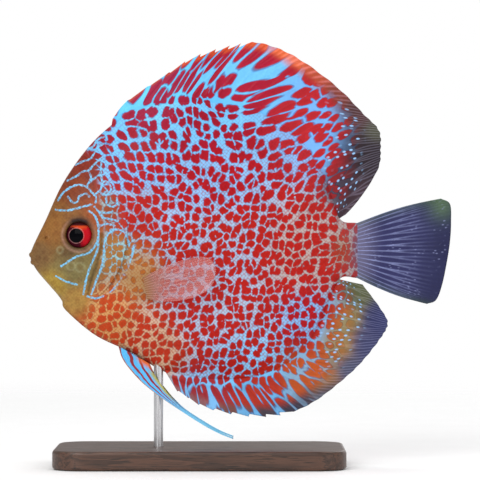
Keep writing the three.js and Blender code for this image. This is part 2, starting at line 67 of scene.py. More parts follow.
def side(points):
    """Drawing units, right and down, as x and z in metres."""
    p = np.asarray(points, float)
    return np.stack([(p[..., 0] - STAND_X) * UNIT, (FLOOR_Z - p[..., 1]) * UNIT], -1)


def drawn(x, z):
    """x and z in metres as drawing units, right and down."""
    return x / UNIT + STAND_X, FLOOR_Z - z / UNIT


def mix(a, b, t):
    """The point t of the way from a to b."""
    return a + (b - a) * t

def stacked(*values):
    """Values side by side, as the last axis of one array."""
    return np.stack(np.broadcast_arrays(*values), -1)


def smooth(low, high, value):
    """0 up to low, 1 from high on, and an S between them: 3 t squared less 2 t cubed."""
    t = np.clip((value - low) / (high - low), 0, 1)
    return t * t * (3 - 2 * t)


def bell(distance, width):
    """A bell of height 1: e to the minus square of distance over width."""
    return np.exp(-((distance / width) ** 2))


def through(values):
    """A Catmull-Rom curve through evenly numbered values, its ends carried on straight."""
    p = np.asarray(values, float)
    p = np.concatenate([2 * p[:1] - p[1:2], p, 2 * p[-1:] - p[-2:-1]])

    def at(where):
        where = np.asarray(where, float)
        i = np.clip(np.floor(where).astype(int), 0, len(p) - 4)
        t = where - i
        if p.ndim > 1:
            t = t[..., None]
        a, b, c, d = p[i], p[i + 1], p[i + 2], p[i + 3]
        return b + 0.5 * t * (c - a + t * (2 * a - 5 * b + 4 * c - d + t * (3 * (b - c) + d - a)))

    return at


# %% [markdown]
# ## The camera
#
# The fish is seen square from its left side. A long lens from well back keeps the outline free of
# perspective, as in the picture that the part follows.

# %% Camera
SENSOR = 36.0
CAMERA_AWAY = 1.35
FRAME_WIDE = 480 * UNIT
view_x, view_z = side([240, 240])
camera_data = bpy.data.cameras.new("camera")
camera_data.sensor_width = SENSOR
camera_data.lens = SENSOR * CAMERA_AWAY / FRAME_WIDE
camera = bpy.data.objects.new("camera", camera_data)
camera.location = (view_x, -CAMERA_AWAY, view_z)
camera.rotation_euler = (math.radians(90), 0, 0)
bpy.context.scene.collection.objects.link(camera)
bpy.context.scene.camera = camera
print("lens mm:", round(camera_data.lens, 1))

# %% [markdown]
# ## The body's form
#
# Sixteen stations run from the snout to the tail's root. Each is a line from the lower to the upper edge
# that bows backwards, with a half thickness. A point of the flank has two numbers: u along the stations, and
# v from 0 at the lower edge to 1 at the upper one.

# %% Stations
# upper right, down; lower right, down; bow; then half thickness, crest and keel in millimetres
STATIONS = np.array([
    (30, 254, 31, 261, 0, 2.6, 1.0, 1.0),
    (35, 242, 38, 272, 1, 4.2, 0.9, 0.9),
    (45.5, 220.5, 50, 286, 5, 6.2, 0.7, 0.8),
    (62.5, 184, 57, 294, 12, 8.6, 0.7, 0.8),
    (86, 150, 62, 301, 26, 10.8, 0.8, 0.8),
    (108.5, 127.5, 66, 310.5, 46, 12.4, 1.1, 0.9),
    (136, 109, 95, 335, 40, 13.2, 1.5, 1.0),
    (167, 102, 130, 352, 30, 13.3, 1.6, 1.2),
    (201, 100, 170, 374, 20, 12.6, 1.6, 1.5),
    (238, 105, 215, 381, 12, 11.4, 1.6, 1.6),
    (272, 116, 255, 378, 6, 9.8, 1.6, 1.6),
    (300, 137, 288, 364, 2, 7.9, 1.6, 1.6),
    (320, 166, 314, 337, 0, 5.9, 1.5, 1.5),
    (333, 199, 331, 297, 0, 4.5, 1.3, 1.3),
    (341, 220, 341, 278, 0, 3.5, 1.1, 1.1),
    (357, 223, 357, 278, 0, 2.5, 1.0, 1.0),
])
LAST = len(STATIONS) - 1
GILL = 5.0
DORSAL_START, ANAL_START, FIN_END = 5.12, 7.9, 13.88
BOW_SKEW = 0.6

upper_edge = through(side(STATIONS[:, 0:2]))
lower_edge = through(side(STATIONS[:, 2:4]))
bow_at = through(STATIONS[:, 4] * UNIT)
half_at = through(STATIONS[:, 5] * MM)
crest_at = through(STATIONS[:, 6] * MM)
keel_at = through(STATIONS[:, 7] * MM)


def flank_point(u, v):
    """On the line between the edges at u, v of the way up, moved back by the bow times a skewed half sine."""
    low, high = lower_edge(u), upper_edge(u)
    bow = bow_at(u) * np.sin(np.pi * np.clip(v, 0, 1) ** BOW_SKEW)
    return mix(low[..., 0], high[..., 0], v) + bow, mix(low[..., 1], high[..., 1], v)


def fin_share(u, v):
    """1 where a fin stands on the nearer edge, 0 where the edge is free."""
    top = smooth(DORSAL_START - 0.15, DORSAL_START + 0.2, u) * (1 - smooth(FIN_END, FIN_END + 0.2, u))
    below = smooth(ANAL_START - 0.15, ANAL_START + 0.2, u) * (1 - smooth(FIN_END, FIN_END + 0.2, u))
    return mix(below, top, smooth(0.3, 0.7, v))


LENS_POWER = 2.3
FREE_EDGE, FILLET = 0.002, 0.16


def flank_half(u, v):
    """A lens between keel and crest: half less edge, times 1 less away to the 2.3, to a power, away being how
    far v is from the middle. Towards a fin the lens runs out in a hollow fillet."""
    away = np.abs(2 * v - 1)
    edge = mix(keel_at(u), crest_at(u), v)
    full = np.clip(1 - away ** LENS_POWER, 0, 1)
    hollow = mix(FREE_EDGE, FILLET, fin_share(u, v))
    swell = full ** mix(0.5, 0.66, smooth(2, 7, u)) * (1 - np.exp(-full / hollow))
    return edge + (half_at(u) - edge) * swell


print("greatest thickness mm:", round(2e3 * float(flank_half(np.array([6.5]), np.array([0.5]))[0]), 1))

# %% [markdown]
# ## The colours of the pattern
#
# The skin is red spots in a light blue net. Colour and size of both change over the fish: ochre face, olive
# cheek, orange breast, brilliant blue back, slate rims. Painting an image would need one for each side. Here
# each region of the fish has a centre, a reach and its own pair of colours, and a point takes the average of
# the regions around it, weighted by how near they are.

# %% Named colours
def tint(code):
    """A colour written as RRGGBB, in linear light, which is what the renderer counts in."""
    c = np.array([int(code[k:k + 2], 16) for k in (0, 2, 4)]) / 255
    return np.where(c <= 0.04045, c / 12.92, ((c + 0.055) / 1.055) ** 2.4)


CRIMSON, BRICK, SKY, MIST, SMOKE = "AC0D1C", "B41C14", "5CB8F0", "92B0D0", "2C242A"
OCHRE, UMBER, OLIVE, HONEY = "84592C", "624B2F", "786D44", "A28538"
# %% Regions
# region: centre right, down; reach; spot colour; net colour; spot size in cells
REGIONS = [
    ("nape", (112, 150), 22, "981C30", SKY, 0.385),
    ("crown", (90, 166), 14, "80301E", "74B4E4", 0.50),
    ("forehead", (78, 188), 14, "7C3C22", "78A4C0", 0.50),
    ("face", (60, 226), 20, OCHRE, OCHRE, 0.44),
    ("snout", (40, 254), 10, "745634", "745634", 0.44),
    ("chin", (56, 284), 10, HONEY, HONEY, 0.44),
    ("throat", (78, 300), 12, "AC8644", "AC8644", 0.44),
    ("cheek", (76, 268), 17, OLIVE, OLIVE, 0.44),
    ("under the eye", (70, 254), 9, UMBER, UMBER, 0.44),
    ("brow", (106, 208), 12, "9C5030", "8CA4A8", 0.46),
    ("gill cover", (116, 254), 13, "A4743C", "84B8C0", 0.49),
    ("shoulder", (138, 208), 18, BRICK, "8CA4C4", 0.49),
    ("upper shoulder", (132, 172), 20, CRIMSON, "64B0EC", 0.43),
    ("behind the gill", (140, 276), 16, "AC6428", "A47638", 0.30),
    ("breast", (108, 320), 20, "C04418", "C68A44", 0.41),
    ("belly", (155, 345), 22, "B8341A", "C49A74", 0.42),
    ("upper body", (205, 125), 34, "9C0C28", SKY, 0.42),
    ("upper flank", (215, 178), 34, CRIMSON, "74B0E4", 0.44),
    ("mid flank", (225, 240), 38, BRICK, MIST, 0.45),
    ("lower flank", (215, 305), 34, BRICK, "9CB4D0", 0.455),
    ("lower rim", (245, 358), 24, BRICK, "78C4F4", 0.44),
    ("rear flank", (302, 255), 34, BRICK, "AC9C98", 0.45),
    ("tail stem", (344, 250), 13, "A03C28", "8C705C", 0.46),
    ("tail root", (361, 250), 13, "5C5068", "6C6C90", 0.36),
    ("dorsal foot", (341, 188), 12, "8C2428", "4C4658", 0.48),
    ("dorsal front", (160, 88), 28, "9C2044", "66C6F0", 0.48),
    ("dorsal middle", (235, 78), 30, "A81834", "6CBCF0", 0.46),
    ("dorsal rear", (315, 128), 30, "B4242C", "70A8E4", 0.46),
    ("anal front", (205, 396), 20, "A83038", "80C0F4", 0.43),
    ("anal middle", (258, 392), 18, "B83828", "6AACE0", 0.44),
    ("anal rear", (345, 340), 20, "B45C28", "90907C", 0.45),
    ("anal slant", (305, 378), 16, "BC5828", "84A4C0", 0.45),
    ("rear lower", (308, 316), 22, CRIMSON, "6CACE4", 0.45),
]
REGION_VALUES = [
    (place, reach, np.concatenate([tint(spot), tint(net), [size]]))
    for _, place, reach, spot, net, size in REGIONS
]


def average(right, down, places):
    """The places' values, weighted by 1 over 1 plus square of distance over reach, all to the third."""
    total, values = 0, 0
    for (cx, cy), reach, value in places:
        near = (1 + ((right - cx) ** 2 + (down - cy) ** 2) / reach ** 2) ** -3.0
        total = total + near
        values = values + near[..., None] * value
    return values / total[..., None]


def region_blend(right, down):
    """Spot colour, net colour and spot size at a point, as the average of the regions."""
    values = average(right, down, REGION_VALUES)
    return values[..., :3], values[..., 3:6], values[..., 6]


print("regions:", len(REGIONS))

# %% [markdown]
# ## Where the spots sit
#
# The spots are the cells of a Voronoi pattern, read from a map that every point carries. On the flank the map
# is the side view with small, upright, slightly leaning cells. On a fin it starts out as the flank's map and
# then runs slower and slower along the rays, which draws the cells out into streaks. So body and fins share
# one pattern, and no cell is cut at a fin's base.

# %% The map of the cells
CELL_WIDE, CELL_TALL, CELL_LEAN = 7.7, 8.8, 0.1
CELL_SHIFT = (11.7, 7.4, 0)
HEART = (225, 290)
SPREAD_REACH, SPREAD_ALONG = 600, 0.6
WIDE_ABOVE, WIDE_FROM, WIDE_FULL = 0.3, 60, 190
# where the cells are finer: right, down; how much; reach
FINER = [(116, 256, 0.4, 22), (182, 84, 0.35, 42), (352, 250, 0.5, 24)]
# behind the back's bend the cells are drawn out along one way
BEND_AT, BEND_REACH, BEND_LONG, BEND_THIN = (268, 86), 58, 0.5, 0.35
BEND_WAY = (math.cos(math.radians(16)), -math.sin(math.radians(16)))


def cell_map(right, down):
    """Side view over cell size, leaning, and pulled in by 1 over 1 plus the square of distance over a reach,
    so that cells grow away from the heart of the flank. High on the flank an S makes them wider. Bells spread
    the map, and so shrink the cells, on the gill cover, the crest and the tail stem. Another bell presses it
    along one way and spreads it across, and so draws the cells out, behind the back's bend."""
    dx, dy = right - HEART[0], down - HEART[1]
    pull = 1 / (1 + (SPREAD_ALONG * dx * dx + dy * dy) / SPREAD_REACH ** 2)
    bx, by = right - BEND_AT[0], down - BEND_AT[1]
    near = bell(np.hypot(bx, by), BEND_REACH)
    long = -BEND_LONG * (bx * BEND_WAY[0] + by * BEND_WAY[1]) * near
    thin = BEND_THIN * (by * BEND_WAY[0] - bx * BEND_WAY[1]) * near
    high = smooth(WIDE_FROM, WIDE_FULL, -dy)
    dx = dx * pull * (1 - WIDE_ABOVE * high) + long * BEND_WAY[0] - thin * BEND_WAY[1]
    dy = dy * pull + long * BEND_WAY[1] + thin * BEND_WAY[0]
    for cx, cy, finer, reach in FINER:
        share = finer * bell(np.hypot(right - cx, down - cy), reach)
        dx, dy = dx + share * (right - cx), dy + share * (down - cy)
    return stacked((dx + CELL_LEAN * dy) / CELL_WIDE, dy / CELL_TALL, 0 * dx) + CELL_SHIFT


def streak_map(base, right, down, stretch, full):
    """The flank's map at the fin's base, plus the way from there to the point, slowed along the ray: at first
    as on the flank, and stretch times slower from full units on."""
    base_map = cell_map(*base)
    way = np.hypot(right - base[0], down - base[1]) + 1e-6
    steps = np.linspace(0, 1, 24)
    slow = sum(1 / mix(1, stretch, smooth(0, full, way * s)) for s in steps) / len(steps)
    return base_map + (cell_map(right, down) - base_map) * slow[..., None]


# %% [markdown]
# ## A helper that makes a piece
#
# A piece is a mesh from arrays, with its colours and maps kept on its points. Points that meet are merged and
# the faces turned outwards, so every piece is one closed skin.

# %% Pieces from grids
def grid_quads(columns, rows):
    """The corner numbers of each square of a grid of columns by rows points."""
    first = (np.arange(columns - 1)[:, None] * rows + np.arange(rows - 1)[None, :]).ravel()
    return np.stack([first, first + rows, first + rows + 1, first + 1], -1)


MEET = 2e-6  # points nearer than this are one


def make_piece(name, points, quads, material, slot, replaced=(), colours=None, maps=None):
    """One merged, outward-facing mesh from points and quads, riding on the root."""
    mesh = bpy.data.meshes.new(name)
    mesh.vertices.add(len(points))
    mesh.vertices.foreach_set("co", np.asarray(points, np.float32).ravel())
    mesh.loops.add(quads.size)
    mesh.loops.foreach_set("vertex_index", quads.astype(np.int32).ravel())
    mesh.polygons.add(len(quads))
    mesh.polygons.foreach_set("loop_start", np.arange(0, quads.size, 4, dtype=np.int32))
    mesh.update(calc_edges=True)
    for key, value in (colours or {}).items():
        rgba = np.concatenate([value, np.ones((len(value), 1))], 1)
        layer = mesh.attributes.new(key, "FLOAT_COLOR", "POINT")
        layer.data.foreach_set("color", rgba.astype(np.float32).ravel())
    for key, value in (maps or {}).items():
        layer = mesh.attributes.new(key, "FLOAT_VECTOR", "POINT")
        layer.data.foreach_set("vector", value.astype(np.float32).ravel())
    shell = bmesh.new()
    shell.from_mesh(mesh)
    bmesh.ops.remove_doubles(shell, verts=shell.verts, dist=MEET)
    bmesh.ops.recalc_face_normals(shell, faces=shell.faces)
    if shell.calc_volume(signed=True) < 0:
        bmesh.ops.reverse_faces(shell, faces=shell.faces)
    shell.to_mesh(mesh)
    shell.free()
    mesh.polygons.foreach_set("use_smooth", np.ones(len(mesh.polygons), bool))
    mesh.materials.append(material)
    piece = bpy.data.objects.new(name, mesh)
    bpy.context.scene.collection.objects.link(piece)
    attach(piece, "root")
    if replaced:
        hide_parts(*replaced)
    print(name, "faces:", len(mesh.polygons))
    return piece


# %% [markdown]
# ## Shader groups
#
# Four effects are used by several materials: the spots in their net, the lines of forking rays, the fine
# scales, and a mottling that keeps any colour from being flat. Each is a node group with its own inputs,
# built once.

# %% Node helpers
KINDS = {float: "NodeSocketFloat", tuple: "NodeSocketColor", type(None): "NodeSocketVector"}


def new_group(name, inputs, outputs):
    """A shader group with named sockets: its wiring, what it is given and what it gives. A default value
    tells an input's kind: a number, a colour, or None for a vector. It gives numbers, but for Colour."""
    tree = bpy.data.node_groups.new(name, "ShaderNodeTree")
    for key, value in inputs.items():
        socket = tree.interface.new_socket(key, in_out="INPUT", socket_type=KINDS[type(value)])
        if value is not None:
            socket.default_value = value
    for key in outputs:
        kind = KINDS[tuple if key == "Colour" else float]
        tree.interface.new_socket(key, in_out="OUTPUT", socket_type=kind)
    given, gives = tree.nodes.new("NodeGroupInput"), tree.nodes.new("NodeGroupOutput")
    return Wiring(tree), given.outputs, gives.inputs


class Wiring:
    """Short ways to add nodes to one tree and join them."""

    def __init__(self, tree):
        self.tree = tree

    def put(self, socket, value):
        """A link to the socket, or a constant in it."""
        if isinstance(value, bpy.types.NodeSocket):
            self.tree.links.new(value, socket)
        else:
            socket.default_value = value

    def node(self, kind, *values, settings=(), **named):
        """A new node with its settings, and with its sockets filled in turn or by name."""
        node = self.tree.nodes.new("ShaderNode" + kind)
        for key, value in dict(settings).items():
            setattr(node, key, value)
        for socket, value in zip(node.inputs, values):
            self.put(socket, value)
        for key, value in named.items():
            self.put(node.inputs[key.replace("_", " ")], value)
        return node

    def math(self, operation, *values, clamp=False):
        return self.node("Math", *values, settings={"operation": operation, "use_clamp": clamp}).outputs[0]

    def plus(self, a, b):
        return self.math("ADD", a, b)

    def less(self, a, b):
        return self.math("SUBTRACT", a, b)

    def times(self, a, b):
        return self.math("MULTIPLY", a, b)

    def vector(self, operation, *values, **named):
        node = self.node("VectorMath", *values, settings={"operation": operation}, **named)
        return node.outputs["Value" if operation == "LENGTH" else "Vector"]

    def ramp(self, value, low, high, to_low=0.0, to_high=1.0):
        """An S-shaped step of value from low to high."""
        return self.node(
            "MapRange", settings={"interpolation_type": "SMOOTHSTEP"},
            Value=value, From_Min=low, From_Max=high, To_Min=to_low, To_Max=to_high,
        ).outputs["Result"]

    def blend(self, factor, a, b, kind="MIX"):
        """Colour a with share factor of colour b."""
        node = self.node("Mix", settings={"data_type": "RGBA", "blend_type": kind, "clamp_factor": True})
        for index, value in ((0, factor), (6, a), (7, b)):
            self.put(node.inputs[index], value)
        return node.outputs[2]

    def layers(self, colour, *over):
        """A colour under others, each with its share."""
        for factor, other in over:
            colour = self.blend(factor, colour, other)
        return colour

    def shaded(self, a, b):
        """Colour a times colour b."""
        return self.blend(1.0, a, b, "MULTIPLY")

    def noise(self, vector, scale, detail=2.0, rough=0.5, kind="3D"):
        return self.node(
            "TexNoise", settings={"noise_dimensions": kind},
            Vector=vector, Scale=scale, Detail=detail, Roughness=rough,
        ).outputs["Fac"]

    def voronoi(self, vector, scale, feature="F1", random=1.0):
        settings = {"voronoi_dimensions": "2D", "feature": feature}
        return self.node("TexVoronoi", settings=settings, Vector=vector, Scale=scale, Randomness=random)

    def group(self, tree, **values):
        return self.node("Group", settings={"node_tree": tree}, **values).outputs

    def field(self, name, kind="Vector"):
        """What the points carry under this name."""
        return self.node("Attribute", settings={"attribute_name": name}).outputs[kind]

    def split(self, vector):
        return self.node("SeparateXYZ", vector).outputs

    def joined(self, x, y):
        return self.node("CombineXYZ", x, y).outputs[0]

    def object_place(self):
        return self.node("TexCoord").outputs["Object"]

    def bump(self, height, strength, distance, **normal):
        return self.node("Bump", Height=height, Strength=strength, Distance=distance, **normal).outputs[0]


def new_material(name, **constants):
    """A material, its own surface shader's sockets with these constants set, and the wiring of its nodes."""
    material = bpy.data.materials.new(name)
    material.use_nodes = True
    surface = material.node_tree.nodes["Principled BSDF"].inputs
    for key, value in constants.items():
        surface[key.replace("_", " ")].default_value = value
    return material, surface, Wiring(material.node_tree)


# %% Group: spots in a net
EVENNESS = 0.68  # 0 would set the spots in straight rows, and 1 would scatter them
w, given, gives = new_group(
    "spots in a net",
    {"Cells": None, "Size": 0.42, "Wobble": 0.9, "Merging": 0.16, "Ragged": 0.14},
    ("Spot", "Border", "Depth"),
)
spot_net, place = w.tree, given["Cells"]
shake = w.noise(place, 0.55, kind="2D").node.outputs["Color"]
push = w.vector("SCALE", w.vector("SUBTRACT", shake, (0.5, 0.5, 0.5)), Scale=given["Wobble"])
wavy = w.vector("ADD", place, push)
cell = w.voronoi(wavy, 1.0, "SMOOTH_F1", EVENNESS)
cell.inputs["Smoothness"].default_value = 0.22
own_size = w.times(w.less(w.split(cell.outputs["Color"])[0], 0.5), 0.16)
disc = w.less(w.plus(given["Size"], own_size), w.less(cell.outputs["Distance"], 0.03))
to_edge = w.voronoi(wavy, 1.0, "DISTANCE_TO_EDGE", EVENNESS).outputs["Distance"]
merged = w.times(w.ramp(w.noise(place, 1.1, detail=1.0, kind="2D"), 0.50, 0.62), given["Merging"])
gap = w.times(w.less(0.66, given["Size"]), 0.5)
apart = w.less(w.plus(to_edge, merged), gap)
uneven = w.times(w.less(w.noise(place, 4.5, kind="2D"), 0.5), given["Ragged"])
inside = w.plus(w.math("SMOOTH_MIN", disc, apart, 0.16), uneven)
w.put(gives["Spot"], w.ramp(inside, -0.04, 0.03))
w.put(gives["Border"], w.ramp(w.math("ABSOLUTE", w.plus(inside, 0.02)), 0.07, 0.0))
w.put(gives["Depth"], w.ramp(inside, 0.0, 0.22))

# %% Group: ray lines
w, given, gives = new_group(
    "ray lines",
    {
        "Number": 0.0, "Out": 0.0, "Fork from": 0.35, "Fork to": 0.9, "Spread": 0.33, "Middle": 1.0,
        "Width": 0.12,
    },
    ("Line",),
)
ray_lines = w.tree
offset = w.math("ABSOLUTE", w.less(w.math("FRACT", given["Number"]), 0.5))
spread = w.times(w.ramp(given["Out"], given["Fork from"], given["Fork to"]), given["Spread"])
branch = w.ramp(w.math("ABSOLUTE", w.less(offset, spread)), given["Width"], 0.0)
centre = w.times(w.ramp(offset, given["Width"], 0.0), given["Middle"])
w.put(gives["Line"], w.math("MAXIMUM", branch, centre))

# %% Group: fine scales
w, given, gives = new_group("fine scales", {"Place": None, "Size": 0.0023}, ("Height", "Edge"))
scale_rows = w.tree
across = w.split(given["Place"])
slanted = w.joined(w.plus(across[0], across[2]), w.less(across[2], across[0]))
scale = w.voronoi(slanted, w.math("DIVIDE", 1.41, given["Size"]), "F1", 0.45).outputs["Distance"]
w.put(gives["Height"], w.ramp(scale, 0.75, 0.1))
w.put(gives["Edge"], w.ramp(scale, 0.3, 0.6))

# %% Group: mottling
w, given, gives = new_group(
    "mottling", {"Colour": (0.5, 0.5, 0.5, 1), "Place": None, "Amount": 0.2}, ("Colour", "Value")
)
mottle = w.tree
broad = w.noise(given["Place"], 90.0, detail=3.0)
fine = w.noise(given["Place"], 900.0, rough=0.6)
both = w.plus(w.times(broad, 0.6), w.times(fine, 0.4))
swing = w.times(w.less(both, 0.5), w.times(given["Amount"], 4.0))
w.put(gives["Colour"], w.vector("SCALE", given["Colour"], Scale=w.plus(swing, 1.0)))
w.put(gives["Value"], both)
print("groups:", [g.name for g in bpy.data.node_groups])

# %% [markdown]
# ## The skin's material
#
# Wet fish skin is a satin surface under a thin film of water: a soft base with a clear coat. Its colour comes
# from the maps on the points, and its fine scales are bumps two millimetres across. The fins use the same
# recipe with rays in place of scales.

# %% Skin and fin material
def ink(code):
    """The colour RRGGBB with full opacity, as the sockets take it."""
    return (*(float(c) for c in tint(code)), 1.0)


def mottled(w, surface, colour, amount, smoothest, roughest):
    """The colour under a mottling, which also varies how rough the surface is."""
    grain = w.group(mottle, Colour=colour, Place=w.object_place(), Amount=amount)
    w.put(surface["Roughness"], w.ramp(grain["Value"], 0.3, 0.7, smoothest, roughest))
    return grain["Colour"]


def skin_material(name, rayed):
    """Net and spot colours parted by the cell pattern, with a dark border to each spot, then the face lines
    on the body, or the rim's own colour and ray lines on a fin."""
    material, surface, w = new_material(name, Coat_Weight=0.06, Coat_Roughness=0.2, Specular_IOR_Level=0.1)
    place = w.object_place()
    # spot size; pattern's or rim's share; way to a face line
    size, share, to_line = w.split(w.field("shape"))
    pattern = w.group(spot_net, Cells=w.field("cells"), Size=size, Ragged=0.05 if rayed else 0.16)
    spot, net = w.field("spot", "Color"), w.field("net", "Color")
    if not rayed:
        scale = w.group(scale_rows, Place=place)
        beady = w.ramp(w.split(place)[2], 0.155, 0.115, 0.15, 0.6)
        bead = w.blend(0.05, net, (1, 1, 1, 1))
        beads = w.blend(w.times(scale["Edge"], beady), bead, w.blend(0.75, net, spot))
        net = w.blend(share, net, beads)
    deep = w.blend(w.times(pattern["Depth"], 0.3), spot, w.shaded(spot, (0.6, 0.4, 0.4, 1)))
    colour = w.blend(pattern["Spot"], net, deep)
    dark = w.times(w.times(pattern["Border"], 0.7), 1.0 if rayed else share)
    colour = w.blend(dark, colour, w.shaded(colour, (0.45, 0.25, 0.4, 1)))
    if rayed:
        number, out, fringe = w.split(w.field("rays"))  # ray number, share of the way out, rim dots' share
        rim = w.field("rim", "Color")
        line = w.group(ray_lines, Number=number, Out=out)["Line"]
        lit_rim = w.shaded(w.blend(0.1, rim, (0.5, 0.5, 0.7, 1)), (1.7, 1.7, 1.7, 1))
        colour = w.blend(share, colour, w.blend(w.times(line, 0.6), rim, lit_rim))
        dot = w.voronoi(w.joined(w.times(number, 2.0), w.times(out, 8.0)), 1.0, "F1", 0.6).outputs
        some = w.ramp(w.split(dot["Color"])[1], 0.3, 0.5)
        dotted = w.times(w.times(w.ramp(dot["Distance"], 0.27, 0.12), fringe), some)
        colour = mottled(w, surface, w.blend(dotted, colour, ink("90BCE8")), 0.16, 0.42, 0.58)
        normal = w.bump(w.plus(w.times(pattern["Spot"], 0.5), w.times(line, 0.5)), 0.18, 0.0002)
    else:
        line = w.plus(to_line, w.times(w.less(w.noise(place, 700.0, detail=1.0), 0.5), 1.6))
        beaded = w.less(1.0, w.times(scale["Edge"], 0.55))
        colour = w.blend(w.times(w.ramp(line, 1.35, 0.6), beaded), colour, ink("74BCE4"))
        colour = mottled(w, surface, colour, w.less(0.34, w.times(share, 0.18)), 0.42, 0.58)
        # painted shade: the low edges of the fine scales are darkened a little
        colour = w.blend(w.times(scale["Edge"], 0.2), colour, w.shaded(colour, (0.5, 0.45, 0.42, 1)))
        normal = w.bump(scale["Height"], 0.30, 0.00012, Normal=w.bump(pattern["Spot"], 0.18, 0.0002))
    w.put(surface["Base Color"], colour)
    w.put(surface["Normal"], normal)
    return material


flank_skin = skin_material("spotted skin", rayed=False)
fin_skin = skin_material("spotted fin", rayed=True)

# %% [markdown]
# ## The skin
#
# One closed skin covers head, gill covers, trunk and tail stem, so that no seam shows. It is a grid of
# stations by heights on both flanks that meet at the crest and the keel. Its reliefs are added to the
# thickness: the gill cover's raised rim, the groove in front of it, the eye's socket and the nostrils.

# %% Lines of the face
def curve_points(points, step=0.5):
    """A smooth curve through drawn points as samples about step units apart."""
    p = np.asarray(points, float)
    length = np.hypot(*np.diff(p, axis=0).T).sum()
    return through(p)(np.linspace(0, len(p) - 1, max(3, int(length / step))))


def nearest(right, down, curves):
    """The distance in drawing units from each point to the nearest sample of the curves."""
    best = np.full(right.shape, 1e3)
    for curve in curves:
        for part in np.array_split(curve, max(1, len(curve) // 24)):
            gap = np.hypot(right[:, None] - part[:, 0], down[:, None] - part[:, 1]).min(1)
            best = np.minimum(best, gap)
    return best


FACE_LINES = [
    [(56.5, 210), (68.7, 210.7), (81.5, 207.5), (93, 204.8)],
    [(58.5, 200.5), (62, 195), (67.4, 190), (72.6, 187), (80, 185), (88, 187.7), (93, 192.8), (97, 197),
     (97, 203)],
    [(68.7, 197), (73.8, 203), (78.5, 201.8), (80, 197), (87, 194), (90.5, 197)],
    [(68, 181), (77.7, 176), (82.8, 172.3), (89.2, 171), (93, 167), (97, 163), (104, 157)],
    [(76, 165), (84, 161.3), (90.5, 159.5), (94.4, 154.4), (98, 148), (104, 144)],
    [(88, 150), (94, 146), (98, 140), (104, 137)],
    [(87, 187.7), (90.5, 182.6), (97, 177.4), (101.5, 173.6), (102, 166), (104, 157)],
    [(101.5, 173.6), (103.3, 181.3), (102, 190), (97, 194)],
    [(89.2, 171), (92, 177), (90.5, 182.6)],
    [(103, 181), (109, 183), (112, 189), (109, 195), (102, 194)],
    [(107, 198), (108.5, 204.4), (113.6, 207), (118, 204.4), (118, 198)],
    [(95.6, 207), (99.5, 211.5), (106, 213.3), (113, 212)],
    [(90, 211), (96, 216), (99.3, 226), (98.6, 240), (91, 252), (77.5, 256.6), (62, 266)],
    [(100, 212), (104, 218), (110, 219), (119, 221)],
    [(101, 226), (108, 224), (116, 226)],
    [(84, 294), (86.7, 281), (91.5, 266), (98.5, 250), (99.5, 238)],
    [(92, 294), (97, 281), (102, 268.5), (104.6, 255.6), (105.5, 244), (109, 234), (114, 231)],
    [(112, 230), (119, 229.5), (126, 233), (129, 240), (131, 248)],
    [(135, 245), (133, 255), (129, 266), (122.5, 278.7), (115, 288), (104.6, 296)],
    [(57, 276), (66, 281), (77.7, 284.5)],
    [(104, 296), (96, 298), (88, 296)],
]
CHEEK_RINGS = [((72, 266), 4), ((81, 267), 4.5), ((61, 250), 3)]
face_curves = [curve_points(line) for line in FACE_LINES]
ring_turn = np.linspace(0, 2 * np.pi, 40)
ring_shape = np.stack([np.cos(ring_turn), np.sin(ring_turn)], -1)
faint_curves = [np.array(centre) + radius * ring_shape for centre, radius in CHEEK_RINGS]
print("face lines:", len(face_curves), "and faint rings:", len(faint_curves))

# %% Reliefs
EYE_AT = (80, 235)
EYE_WIDE = 5.6 * MM
RIM_OUT = 6.25 * MM
NOSTRIL_AT = (47, 238)
COVER_FRONT, COVER_LOW, COVER_HIGH = 4.12, 0.06, 0.53
COVER_RISE = 0.95 * MM
STEP = 0.035
GROOVE = curve_points([(103, 234), (102, 248), (98, 263), (92, 280), (88.5, 294)])
JAW = curve_points([(45, 264), (49, 270), (50, 277)])
CHEEK = curve_points([(66, 262), (80, 259), (92, 250), (95, 240)])


def cover_rise(u, v):
    """The gill cover: it rises from its front to its rear rim and drops there in a short step. Its front runs
    back to the rear rim at the lower end."""
    low = 1 - smooth(COVER_LOW, COVER_LOW + 0.3, v)
    front = COVER_FRONT + 0.7 * low + 0.3 * smooth(COVER_HIGH - 0.07, COVER_HIGH, v)
    ends = smooth(COVER_LOW - 0.04, COVER_LOW + 0.1, v)
    ends = ends * (1 - smooth(COVER_HIGH - 0.12, COVER_HIGH + 0.03, v))
    swell = smooth(front, GILL, u) * (1 - smooth(GILL, GILL + STEP, u))
    behind = bell(u - GILL - 2.2 * STEP, 2.2 * STEP) * (u > GILL + STEP)
    return COVER_RISE * ends * (swell - 0.3 * behind)


def relief(u, v, x, z):
    """All that the face adds to the flank's thickness, in metres."""
    right, down = drawn(x, z)
    total = cover_rise(u, v)
    for curve, rise, width in ((GROOVE, -0.35, 1.6), (JAW, -0.25, 1.2), (CHEEK, 0.35, 6.0)):
        total = total + rise * MM * bell(nearest(right, down, [curve]), width)
    eye = np.hypot(right - EYE_AT[0], down - EYE_AT[1]) * UNIT
    total = total + 0.75 * MM * bell(eye - RIM_OUT, 0.75 * MM)
    total = total - 3.2 * MM * (1 - smooth(EYE_WIDE - 0.7 * MM, EYE_WIDE + 0.25 * MM, eye))
    nostril = np.hypot(right - NOSTRIL_AT[0], down - NOSTRIL_AT[1]) * UNIT
    total = total + 0.28 * MM * bell(nostril - 1.0 * MM, 0.35 * MM)
    return total - 0.8 * MM * (1 - smooth(0.25 * MM, 0.85 * MM, nostril))


# %% The skin's grid
def joined_steps(*parts):
    """Several runs of low, high and count joined end to end."""
    return np.unique(np.concatenate([np.linspace(*part) for part in parts]))


